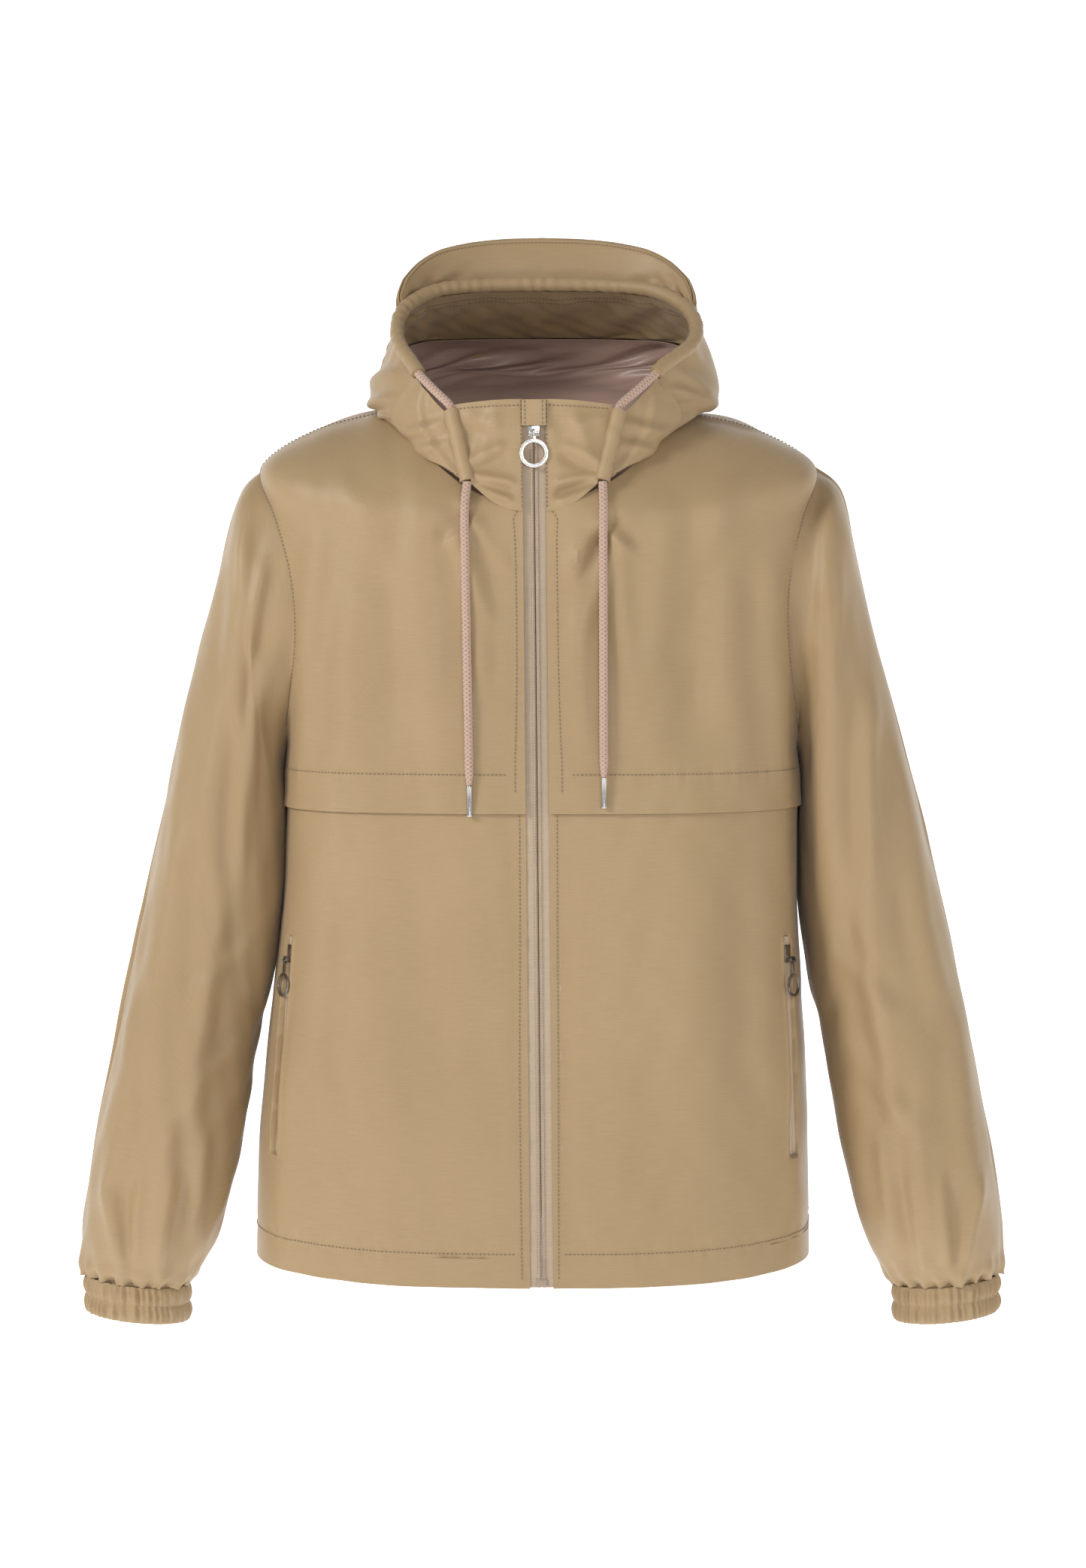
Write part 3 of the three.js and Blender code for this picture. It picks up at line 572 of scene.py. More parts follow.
def thread(name, colour):
    material, tree, shader = nodes_for(name)
    coordinates = tree.nodes.new("ShaderNodeTexCoord")
    twist = noise(tree, coordinates.outputs["Object"], 2600, 2)
    darker = tuple(c * 0.8 for c in colour)
    tree.links.new(shade(tree, twist, [(0.3, darker), (0.7, colour)]), shader.inputs["Base Color"])
    shader.inputs["Roughness"].default_value = 0.6
    shader.inputs["Sheen Weight"].default_value = 0.2
    return material


SHELL = woven("tan_shell_cloth", (0.325, 0.221, 0.112), (0.388, 0.270, 0.142), 0.47, 0.12)
LINING = woven("mauve_satin_lining", (0.330, 0.222, 0.180), (0.430, 0.300, 0.250), 0.36, 0.1, weave=0.2,
               gloss=0.5)
TAPE = woven("zip_tape_weave", (0.40, 0.305, 0.215), (0.49, 0.375, 0.27), 0.75, 0.2, threads=1500, weave=0.8)
ELASTIC = woven("white_elastic_weave", (0.62, 0.60, 0.55), (0.78, 0.76, 0.71), 0.8, 0.2, threads=700,
                weave=1.0)
CORD = braid("braided_cord", (0.30, 0.185, 0.135), (0.52, 0.36, 0.275))
NICKEL = plated("bright_nickel", (0.62, 0.61, 0.59), (0.80, 0.79, 0.77), 0.16, 0.1)
GUNMETAL = plated("antique_gunmetal", (0.10, 0.09, 0.08), (0.34, 0.31, 0.28), 0.22, 0.3)
THREAD = thread("tan_thread", (0.235, 0.160, 0.088))
TAPE_THREAD = thread("zip_thread", (0.36, 0.27, 0.20))


# ---- Camera ----


VIEW_HEIGHT = 1.1682    # metres seen from top to bottom at the jacket


def make_camera():
    rise, distance = math.radians(4.5), 3.0
    aim = Vector((0.0008, 0, -0.270))
    data = bpy.data.cameras.new("camera")
    data.sensor_width = 36
    data.lens = data.sensor_width * distance / VIEW_HEIGHT
    camera = bpy.data.objects.new("camera", data)
    camera.location = aim + distance * Vector((0, -math.cos(rise), math.sin(rise)))
    camera.rotation_euler = (math.pi / 2 - rise, 0, 0)
    bpy.context.scene.collection.objects.link(camera)
    bpy.context.scene.camera = camera


make_camera()

# ---- Cords ----


def aglet(name, end):
    """A plain metal tube crimped at both ends, turned from a cylinder."""
    start_piece()
    length, radius = 0.022, 0.0022
    place = (end[0] * MM, (end[1] - 0.2) * MM, (end[2] - 0.4) * MM - length / 2)
    bpy.ops.mesh.primitive_cylinder_add(vertices=32, radius=radius, depth=length, location=place)
    obj = bpy.context.object
    obj.name = name
    bpy.ops.object.transform_apply(location=True, rotation=True, scale=True)
    bpy.ops.object.mode_set(mode="EDIT")
    for height in (0.46, 0.4, -0.4, -0.46):
        bpy.ops.mesh.select_all(action="SELECT")
        bpy.ops.mesh.bisect(plane_co=(0, 0, place[2] + height * length), plane_no=(0, 0, 1))
    bpy.ops.object.mode_set(mode="OBJECT")
    resize_part(obj, lambda co: abs(co.z - place[2]) < 0.42 * length, (0.9, 0.9, 1), place)
    bevel = obj.modifiers.new("rounded", "BEVEL")
    bevel.width = 0.0002
    bevel.segments = 2
    bpy.ops.object.modifier_apply(modifier="rounded")
    return finish_piece(obj, NICKEL, 30)


def hanging_cord(name, route):
    path = spline(route, 110)

    def strands(s, angle):
        taper = 1 - 0.38 * np.clip((s - s[-1] + 9) / 9, 0, 1)
        return taper * (1 + 0.035 * np.sin(3 * angle + s * 1.9) * np.sin(3 * angle - s * 1.9))

    cord = tube(f"{name}_drawcord_braid", path, 3.15, CORD, 24, strands)
    tip = aglet(f"{name}_aglet_metal", route[-1])
    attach(cord, "shell")
    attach(tip, "shell")
    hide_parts(f"{name}_drawcord")
    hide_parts(f"{name}_aglet")


hanging_cord("right", RIGHT_CORD)
hanging_cord("left", LEFT_CORD)

# ---- Places of the zips ----


def axes(across, inward, up, origin):
    matrix = Matrix.Identity(4)
    for k, axis in enumerate((across, inward, up, origin)):
        for row in range(3):
            matrix[row][k] = axis[row]
    return matrix


def main_zip_matrix():
    up = (ZIP_TOP - ZIP_FOOT) / np.linalg.norm(ZIP_TOP - ZIP_FOOT)
    across = np.array([1.0, 0, 0]) - up * up[0]
    across /= np.linalg.norm(across)
    return axes(across, np.cross(up, across), up, ZIP_TOP * MM)


def pocket_matrix(side):
    """The straight pocket zip lies along its slider's joint and faces the way its pull swings."""
    name = "left" if side > 0 else "right"
    joints = {joint["name"]: joint for joint in frame["joints"]}
    up = -np.array(joints[f"{name}_pocket_zip_slide"]["axis"])
    across = -np.array(joints[f"{name}_pocket_pull_swing"]["axis"])
    pivot = np.array(joints[f"{name}_pocket_pull_swing"]["pos_m"])
    return axes(across, np.cross(up, across), up, pivot)


# ---- Body ----

FRONT_FOLDS = {
    RIGHT: [
        (-92, -58, -80, -235, 15, 2.6), (-56, -66, -44, -200, 10, 2.4), (-26, -74, -21, -235, -7, 2.2),
        (-128, -50, -140, -250, -15, 2.8), (-166, -90, -178, -262, -10, 2.8), (-44, -70, -70, -92, 5, 2.6),
        (-60, -56, -24, -112, 6, 2.6), (-66, -72, -34, -150, -7, 2.2), (-150, -36, -96, -120, 14, 2.2),
        (-112, -300, -104, -560, 26, 2.6),
        (-60, -320, -50, -600, 22, 2.2),
        (-164, -320, -170, -500, -13, 2.6),
        (-186, -430, -196, -600, 9, 2.4), (-24, -330, -20, -600, -9, 1.4),
    ],
    LEFT: [
        (90, -54, 78, -235, -16, 2.6), (52, -66, 62, -200, 9, 2.4), (22, -74, 26, -240, 8, 2.6),
        (126, -46, 138, -250, 15, 2.8), (164, -90, 176, -262, 10, 2.8), (36, -70, 64, -96, -5, 2.6),
        (50, -58, 14, -118, -6, 2.8), (58, -70, 24, -160, 7, 2.4), (148, -34, 92, -124, -14, 2.4),
        (108, -300, 114, -560, -26, 2.6), (52, -320, 46, -600, 22, 2.2), (162, -320, 168, -500, 13, 2.6),
        (184, -430, 192, -600, -9, 2.4), (24, -330, 28, -600, 9, 1.8),
    ],
}


def seam_pucker(distance, run, seed, depth, reach, pitch):
    """Small puckers that run off a seam: distance from it and running length along it, mm."""
    fade = np.exp(-(distance / reach) ** 2)
    return -depth * fade * (0.5 + 0.5 * ripple(run, distance, seed, 4, 2 * np.pi / pitch, 0.06))


def side_bulge(points, normal):
    """The body's sides lean on the sleeves between the underarm and the elbow."""
    z = points[..., 2]
    window = np.clip((-238 - z) / 20, 0, 1) * np.clip((z + 430) / 60, 0, 1)
    return 2.6 * window * np.abs(normal[..., 0]) ** 3


def pocket_groove(points, side):
    """The slot of the pocket zip, pressed into the cloth between its two folded edges."""
    matrix = np.array(pocket_matrix(side).inverted())
    local = points @ matrix[:3, :3].T + matrix[:3, 3] / MM
    x, z = np.abs(local[..., 0]), local[..., 2] + 63
    ends = np.clip((80 - np.abs(z)) / 1.5, 0, 1)
    near = np.clip(1 - np.abs(local[..., 1]) / 40, 0, 1) > 0
    groove = -5.6 * np.clip((5.4 - x) / 1.6, 0, 1) * ends
    lip = 1.0 * np.exp(-((x - 7.5) / 2.2) ** 2) * ends
    return (groove + lip) * near


def front_points(side, ring0, ring1, nu, nv, lift):
    u, v = grid((0, 1), (0, 1), nu, nv)
    ring = ring0 + (ring1 - ring0) * v
    start = edge_angle(side, ring, ZIP_SHOWN)
    end = side * (seam_angle(ring, True) - 0.001)
    points = torso(start + (end - start) * u, ring)
    normal = normals_of(points) * side
    facing = np.clip(-normal[..., 1] * 1.4, 0, 1)
    from_edge = np.abs(points[..., 0] - zip_x(points[..., 2])) - ZIP_SHOWN
    calm = 1 - np.exp(-(from_edge / 12) ** 2)
    height = folds(points, FRONT_FOLDS[side]) * facing * calm
    height += 2.2 * calm * ripple(points[..., 0], points[..., 2], 11 + side, 5, 0.04, 0.01)
    height += 0.35 * calm * ripple(points[..., 0], points[..., 2], 15 + side, 5, 0.16, 0.1)
    height += seam_pucker(from_edge - 1.5, points[..., 2], 21 + side, 0.5, 5, 15)
    height *= 1 - np.exp(-((1 - u) * 210 / 8) ** 2)
    height += side_bulge(points, normal) + pocket_groove(points, side)
    return points + normal * (height + lift)[..., None], normal


def front_upper(name, side):
    points, normal = front_points(side, FOLD_RING, NECK_RING, 96, 110, 0)
    run = points[..., 0]
    above = points[..., 2] - points[:, :1, 2]
    points = points + normal * seam_pucker(above - 27, run, 31 + side, 0.7, 6, 11)[..., None]
    points = points + normal * (0.9 * np.exp(-(above / 7) ** 2))[..., None]
    obj = cloth(f"{name}_front_upper_cloth", points, SHELL, wall=0.9, flip=side < 0)
    mount(obj, "shell", "shell", f"{name}_front_upper")
    row = int(np.argmin(np.abs(above[40] - 27)))
    return points, normal, row


def front_lower(name, side):
    points, normal = front_points(side, 0, 5.5, 170, 120, -1.9)
    above = points[..., 2] - points[:, :1, 2]
    points = points + normal * seam_pucker(above - 23, points[..., 0], 41 + side, 0.8, 6, 13)[..., None]
    obj = cloth(f"{name}_front_lower_cloth", points, SHELL, flip=side < 0)
    mount(obj, "shell", "shell", f"{name}_front_lower")
    row = int(np.argmin(np.abs(above[40] - 23)))
    return points, normal, row


BACK_PANEL_FOLDS = [
    (-172, -110, -120, -330, 12, 3.4), (172, -110, 124, -330, -12, 3.4), (-150, -200, -96, -470, 15, 3.2),
    (152, -190, 100, -450, -15, 3.2), (-40, -60, -66, -380, 18, 2.6), (46, -60, 60, -400, -18, 2.6),
    (-20, -340, -30, -600, 20, 2.8), (80, -380, 90, -600, 18, 2.6), (-120, -400, -130, -600, 16, 2.6),
    (-170, -330, -176, -580, 12, 2.4), (168, -330, 176, -580, -12, 2.4),
]


def back_panel():
    u, v = grid((0, 1), (0, 1), 150, 170)
    ring = NECK_RING * v
    start = seam_angle(ring, False) + 0.001
    points = torso(start + (2 * np.pi - 2 * start) * u, ring)
    normal = normals_of(points)
    height = 3.0 * ripple(points[..., 0], points[..., 2], 5, 6, 0.035, 0.008)
    height += 0.9 * ripple(points[..., 0], points[..., 2], 6, 5, 0.07, 0.04)
    height += folds(points, BACK_PANEL_FOLDS)
    above = points[..., 2] - points[:, :1, 2]
    height += seam_pucker(above - 23, points[..., 0], 51, 0.8, 6, 13)
    edge = np.minimum(u, 1 - u) * 480
    height = height * (1 - np.exp(-(edge / 10) ** 2)) + side_bulge(points, normal)
    height -= 1.9 * np.exp(-(edge / 9) ** 2) * np.clip((5.4 - ring) / 0.2, 0, 1)
    points = points + normal * height[..., None]
    obj = cloth("back_panel_cloth", points, SHELL)
    mount(obj, "shell", "shell", "back_panel")
    row = int(np.argmin(np.abs(above[75] - 23)))
    return points, normal, row


def body_lining():
    u, v = grid((0, 1), (0, 1), 150, 90)
    ring = 0.55 + 10.6 * v
    start = edge_angle(1, ring, 17)
    end = 2 * np.pi + edge_angle(-1, ring, 17)
    points = torso(start + (end - start) * u, ring)
    normal = normals_of(points)
    sides = np.clip(1 - np.abs(np.abs(points[..., 0]) - 186) / 40, 0, 1)
    height = -8.5 - 5 * sides + 1.8 * ripple(u * 1100, points[..., 2], 61, 6, 0.045, 0.012)
    points = points + normal * height[..., None]
    obj = cloth("body_lining_satin", points, LINING, wall=0.4)
    mount(obj, "shell", "lining", "body_lining")


def hem_facing():
    u, v = grid((0, 1), (0, 1), 150, 6)
    ring = 0.02 + 0.35 * v
    start, end = edge_angle(1, ring, 18), 2 * np.pi + edge_angle(-1, ring, 18)
    points = torso(start + (end - start) * u, ring)
    points = points - normals_of(points) * 3.4
    obj = cloth("hem_facing_cloth", points, SHELL, wall=0.6)
    mount(obj, "shell", "shell", "hem_facing")


seams = []


def body():
    for name, side in SIDES:
        upper, normal, row = front_upper(name, side)
        stitch_row(seams, upper, normal, np.s_[2:-2, row], 0.3)
        edge = 1
        stitch_row(seams, upper, normal, np.s_[edge, 4:-4], 0.3)
        stitch_row(seams, upper, normal, np.s_[-2, 6:-2], 0.3)
        lower, normal, row = front_lower(name, side)
        stitch_row(seams, lower, normal, np.s_[2:-2, row], 0.3)
        stitch_row(seams, lower, normal, np.s_[edge, 3:-10], 0.3)
    points, normal, row = back_panel()
    stitch_row(seams, points, normal, np.s_[2:-2, row], 0.3)
    body_lining()
    hem_facing()


def neck_trim():
    """The tape over the neck seam inside the back, and the loop it holds for hanging the jacket up."""
    u, v = grid((-1.1, 1.1), (0, 1), 60, 8)
    points = torso(math.pi + u, NECK_RING + 0 * u)
    out = points * [1, 1, 0]
    points = points - out / np.linalg.norm(out, axis=-1, keepdims=True) * 10.5
    points[..., 2] += 11 * v - 15 + 0.3 * ripple(u * 90, v * 10, 71, 4, 0.2, 0.3)
    tape = cloth("neck_tape_weave", points, TAPE, wall=0.6)
    mount(tape, "shell", "tape", "neck_tape")
    y = RINGS[NECK_RING][5] - 12.5
    path = spline([(-28, y, -8), (-24, y - 3, -15), (-5, y - 5, -19), (14, y - 3, -15), (18, y, -8)], 60)
    loop = tube("hanger_loop_cloth", path, 1.8, SHELL, 16)
    mount(loop, "shell", "shell", "hanger_loop")


body()
neck_trim()

# ---- Sleeves and cuffs ----


def halve(low, high, over):
    """Finds where over(x) turns true between two arrays of limits."""
    for _ in range(30):
        middle = (low + high) / 2
        past = over(middle)
        high = np.where(past, middle, high)
        low = np.where(past, low, middle)
    return (low + high) / 2


def side_points(y, z):
    """Points of the body's left side at given y and z."""
    zero = np.zeros(y.shape)

    def angle_for(ring):
        return halve(zero, zero + np.pi, lambda a: torso(a, ring)[..., 1] > y)

    ring = halve(zero + 5, zero + 11, lambda r: torso(angle_for(r), r)[..., 2] > z)
    return torso(angle_for(ring), ring)


def sleeve_loops(count, side):
    """Loops of the sleeve from inside the armhole to the cuff seam."""
    turn = np.linspace(0, 2 * np.pi, count, endpoint=False)
    loops = []
    middle, half = (SHOULDER_Z + UNDERARM_Z) / 2, (SHOULDER_Z - UNDERARM_Z) / 2
    for reach, lift in ((1.05, -2.4), (0.985, 0.6)):
        y = ARMHOLE_HALF_DEPTH * reach * np.sin(turn)
        z = middle + half * reach * np.cos(turn)
        loop = side_points(y, z)
        loop[:, 0] += lift
        loops.append(loop)
    for xo, zo, xi, zi, depth, yc in SLEEVE_RINGS:
        x = (xo + xi) / 2 + (xo - xi) / 2 * np.cos(turn)
        z = (zo + zi) / 2 + (zo - zi) / 2 * np.cos(turn)
        loops.append(np.stack([x, yc + depth * np.sin(turn), z], -1))
    loops = np.array(loops) * np.array([side, 1, 1])
    return turn, loops


# Folds of the sleeves' fronts, as for the body.
SLEEVE_FOLDS = {
    RIGHT: [
        (-221, -70, -226, -235, -8, 4.6),
        (-238, -180, -246, -345, -9, 4.4),
        (-240, -85, -266, -260, -10, 3.4),
        (-203, -96, -214, -176, -6, 3.6),
        (-208, -190, -222, -330, -8, 3.6),
        (-264, -280, -288, -480, -11, 3.8),
        (-236, -350, -262, -530, -9, 4.2),
        (-300, -420, -322, -600, -10, 3.2),
        (-272, -500, -284, -616, -8, 3.4),
        (-246, -520, -258, -612, -6, 2.8), (-204, -372, -258, -424, 8, 2.2),
        (-212, -440, -268, -508, 8, 2.0), (-322, -556, -308, -632, -5, 3.2), (-296, -552, -302, -632, 5, 2.8),
        (-270, -548, -284, -632, -5, 3.0),
    ],
    LEFT: [
        (211, -46, 203, -150, 7, 3.8), (203, -140, 210, -345, 12, 6.0), (238, -195, 238, -345, 8, 4.2),
        (244, -90, 268, -260, 10, 3.2), (264, -240, 292, -450, 11, 3.8), (232, -350, 262, -530, 9, 4.4),
        (302, -420, 322, -600, 10, 3.2), (272, -500, 284, -616, 8, 3.2), (246, -520, 258, -612, 6, 2.8),
        (208, -380, 258, -436, -8, 2.2), (214, -446, 268, -516, -8, 2.0),
        (322, -556, 308, -632, 5, 3.2), (292, -552, 300, -632, -5, 2.8), (268, -548, 282, -632, 5, 3.0),
    ],
}
# Folds of the sleeves' backs: turn in degrees, start and end down the sleeve, drift, width, height.
BACK_FOLDS = [
    (90, 0.1, 0.8, 14, 12, 4.0), (60, 0.2, 0.7, -12, 10, 3.4), (130, 0.3, 0.9, 12, 11, 3.6),
    (20, 0.4, 0.9, 8, 10, 2.4), (105, 0.5, 0.95, -10, 8, 3.0), (160, 0.1, 0.5, 8, 9, 3.0),
]


def sleeve_height(points, normal, turn, v, side):
    degrees = np.degrees(turn)
    total = folds(points, SLEEVE_FOLDS[side]) * np.clip(-normal[..., 1] * 1.5 + 0.1, 0, 1)
    for centre, v0, v1, drift, width, height in BACK_FOLDS:
        s = (v - v0) / (v1 - v0)
        offset = (degrees - centre - drift * (s - 0.5) + 180) % 360 - 180
        ends = np.exp(-np.clip(np.abs(s - 0.5) - 0.28, 0, None) ** 2 / 0.025)
        q = offset / width
        total += height * ends * (np.exp(-q * q) - 0.5 * np.exp(-((q - 0.8) / 1.6) ** 2))
    total += 1.8 * ripple(turn * 55, v * 640, 71 + side, 6, 0.05, 0.02)
    total += 0.5 * ripple(turn * 55, v * 640, 75 + side, 5, 0.16, 0.08)
    gather = np.clip((v - 0.88) / 0.12, 0, 1)
    total += gather ** 1.2 * 3.1 * ripple(turn * 40, v * 100, 78 + side, 5, 0.3, 0.01, 0.8)
    total += gather ** 3 * 1.0 * ripple(turn * 40, v * 100, 79 + side, 5, 0.9, 0.01, 0.8)
    total += 1.6 * np.exp(-((v - 0.945) / 0.03) ** 2) - 0.9 * gather
    along = np.clip((v - 0.03) / 0.04, 0, 1) * np.clip((0.5 - v) / 0.1, 0, 1)
    total += 3 * np.clip(-np.cos(turn), 0, 1) ** 3 * along
    return total * np.clip((v - 0.015) / 0.05, 0, 1)


def sleeve(name, side):
    count = 160
    turn, loops = sleeve_loops(count, side)
    v = np.linspace(0, 1, 230)
    rows = np.moveaxis(loops, 0, 1)
    points = np.stack([along(row, v * (len(loops) - 1)) for row in rows])
    normal = normals_of(points, True) * -side
    height = sleeve_height(points, normal, turn[:, None], v[None, :], side)
    points = points + normal * height[..., None]
    obj = cloth(f"{name}_sleeve_cloth", points, SHELL, closed=True, flip=side > 0)
    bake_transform(obj)
    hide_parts(f"{name}_sleeve")


def cuff_loop(turn, v, side):
    xo, zo, xi, zi, depth, yc = SLEEVE_RINGS[-1]
    x = (xo + xi) / 2 + ((xo - xi) / 2 - 0.5) * np.cos(turn)
    z = (zo + zi) / 2 + (zo - zi) / 2 * np.cos(turn) - 0.6 - CUFF_HEIGHT * v
    return np.stack(np.broadcast_arrays(side * x, yc + depth * np.sin(turn), z), -1)


def cuff(name, side):
    """A gathered band: two rows of elastic pull the cloth into small upright pleats."""
    columns = 300
    turn = np.linspace(0, 2 * np.pi, columns, endpoint=False)
    profile = np.linspace(0, 1, 34)
    # the cloth goes down the outside, round the lower edge and up the inside
    down = np.concatenate([profile, profile[::-1][1:]])
    outside = np.concatenate([np.ones(34), np.zeros(33)])
    points = cuff_loop(turn[:, None], down[None, :], side)
    normal = normals_of(cuff_loop(turn[:, None], profile[None, :], side), True)
    normal = np.concatenate([normal, normal[:, ::-1][:, 1:]], 1) * -side
    channel = np.abs(np.sin(2 * np.pi * down))
    pleats = ripple(turn[:, None] * 38, down[None, :] * 9, 81 + side, 6, 1.05, 0.22, 0.85)
    height = outside * (1.5 * channel ** 0.6 - 0.6 + 1.35 * pleats * (0.45 + 0.55 * channel))
    height += (1 - outside) * (-4.4 + 0.5 * pleats)
    points = points + normal * height[..., None]
    obj = cloth(f"{name}_cuff_cloth", points, SHELL, wall=0.5, closed=True, flip=side > 0)
    mount(obj, f"{name}_sleeve", "shell", f"{name}_cuff")


for side_name, side_sign in SIDES:
    sleeve(side_name, side_sign)
    cuff(side_name, side_sign)

# ---- Hood ----


def hood_piece(name, points, material, replaced, wall=WALL, flip=False):
    obj = cloth(name, points, material, wall=wall, flip=flip)
    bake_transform(obj)
    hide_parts(replaced)
    return obj


def hood_points(c0, c1, r0, r1, skip, nu, nv):
    column, r = grid((c0, c1), (r0, r1), nu, nv)
    points = hood(column, r, skip)
    return points, normals_of(points), column, r


# Folds of the hood: column and r at both ends, width in columns, height.
HOOD_FOLDS = [
    (-4.9, 0.25, -3.4, 0.85, 0.2, 3.0), (-5.0, 0.5, -3.6, 1.0, 0.16, 2.6), (-4.6, 0.05, -3.0, 0.6, 0.2, 2.4),
    (4.9, 0.3, 3.5, 0.9, 0.2, 2.8), (5.0, 0.12, 4.0, 0.6, 0.14, 2.4), (4.6, 0.03, 4.3, 0.4, 0.12, 1.8),
    (-2.2, 0.3, -0.6, 0.9, 0.25, 3.0), (1.4, 0.2, 0.4, 0.9, 0.25, 3.0), (2.6, 0.3, 2.0, 0.95, 0.22, 2.8),
    (0.2, 0.5, -1.8, 0.8, 0.25, 2.4),
]


def hood_drapes(column, r):
    total = np.zeros(column.shape)
    for c0, r0, c1, r1, width, height in HOOD_FOLDS:
        dc, dr = c1 - c0, (r1 - r0) * 4
        length = math.hypot(dc, dr)
        s = ((column - c0) * dc + (r - r0) * 4 * dr) / length ** 2
        q = ((column - c0) * dr - (r - r0) * 4 * dc) / length / width
        ends = np.exp(-np.clip(np.abs(s - 0.5) - 0.3, 0, None) ** 2 / 0.03)
        total += height * ends * (np.exp(-q * q) - 0.6 * np.exp(-((q - 1.4) / 1.2) ** 2))
    return total


def hood_panels():
    skip = CASING_R - 1
    panels = [
        ("hood_centre_panel", -CENTRE_COLUMN, CENTRE_COLUMN, 90),
        ("hood_left_panel", CENTRE_COLUMN, RIM_COLUMN + 0.1, 110),
        ("hood_right_panel", -RIM_COLUMN - 0.1, -CENTRE_COLUMN, 110),
    ]
    for name, c0, c1, nu in panels:
        points, normal, column, r = hood_points(c0, c1, 0, 1, skip, nu, 90)
        calm = np.clip(r / 0.1, 0, 1) * np.clip((1 - r) / 0.15, 0, 1)
        height = 2.4 * ripple(column * 30, r * 150, 91, 6, 0.09, 0.05) * calm
        height += 1.2 * ripple(column * 30, r * 150, 92, 4, 0.3, 0.05) * np.exp(-(r / 0.12) ** 2)
        height += hood_drapes(column, r) * calm + 1.2 * np.clip((r - 0.9) / 0.1, 0, 1)
        points = points + normal * height[..., None]
        points[..., 2] -= 6 * np.clip((r - 0.88) / 0.12, 0, 1) ** 2
        hood_piece(f"{name}_cloth", points, SHELL, name)


def hood_inside():
    side = RIM_COLUMN + 0.05
    points, normal, column, r = hood_points(-side, side, 0, 0.29, CASING_R - 1, 240, 50)
    run, depth = column * 32, r * 200
    wrinkle = 1.9 * ripple(run + depth * 0.9, depth, 101, 6, 0.13, 0.08)
    wrinkle += 0.8 * ripple(run - depth * 0.7, depth, 102, 5, 0.28, 0.1)
    height = -3.4 + wrinkle * np.clip(r / 0.05, 0.25, 1) * np.clip((0.29 - r) / 0.02, 0.3, 1)
    face = points + normal * height[..., None]
    hood_piece("hood_facing_cloth", face, SHELL, "hood_facing")
    inside = face - normal * (WALL + 0.25)
    for row in (6, 10):
        hood_seams.append((inside[4:-4, row], -normal[4:-4, row]))
    overlock.append((inside[4:-4, -2], -normal[4:-4, -2]))
    points, normal, column, r = hood_points(-side, side, 0.27, 1, CASING_R - 1, 240, 100)
    run, depth = column * 34, r * 200
    drape = 4.5 * ripple(run, depth, 111, 5, 0.05, 0.04)
    drape = drape + 2.4 * ripple(run + depth, depth, 112, 5, 0.12, 0.06, 0.8)
    height = -7.5 + drape * np.clip((r - 0.27) / 0.08, 0, 1) * np.clip((1 - r) / 0.2, 0, 1)
    points = points + normal * height[..., None]
    foot = np.clip((r - 0.9) / 0.1, 0, 1)[..., None]
    inward = points * [-1, -1, 0]
    inward = inward / np.linalg.norm(inward, axis=-1, keepdims=True)
    points = points + 9 * foot * inward - 19 * foot ** 3 * [0, 0, 1]
    hood_piece("hood_lining_satin", points, LINING, "hood_lining", 0.4)


def rim_line(count, reach=RIM_COLUMN):
    return hood(np.linspace(-reach, reach, count), np.zeros(count), 0)


def hood_casing():
    path = rim_line(260)

    def gathers(s, angle):
        crimp = ripple(s, angle * 4, 121, 6, 0.55, 0.35)
        return 1 + 0.07 * crimp + 0.03 * np.sin(2 * angle + s * 0.05)

    obj = tube("hood_casing_cloth", path, CASING_R - 0.6, SHELL, 24, gathers)
    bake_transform(obj)
    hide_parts("hood_casing")


def visor_point(column, v):
    column, v = np.broadcast_arrays(column, v)
    tangent = hood(column + 0.05, 0 * v, 0) - hood(column - 0.05, 0 * v, 0)
    tangent /= np.linalg.norm(tangent, axis=-1, keepdims=True)
    upward = np.array([0, 0, 1.0]) - tangent * tangent[..., 2:]
    upward /= np.linalg.norm(upward, axis=-1, keepdims=True)
    foot = hood(column, 0 * v, 0) + upward * (CASING_R - 4.4)
    corners = [0, 0.6, 1.2, 1.8, 2.35, 2.8, 3.05, 3.25]
    height = np.interp(np.abs(column), corners, [34, 33.5, 32, 29, 25, 20, 13, 0])
    foot[..., 1] += 4 * v + 11 - 8 * np.abs(column / 3.25) ** 6
    foot[..., 2] += height * v
    return foot


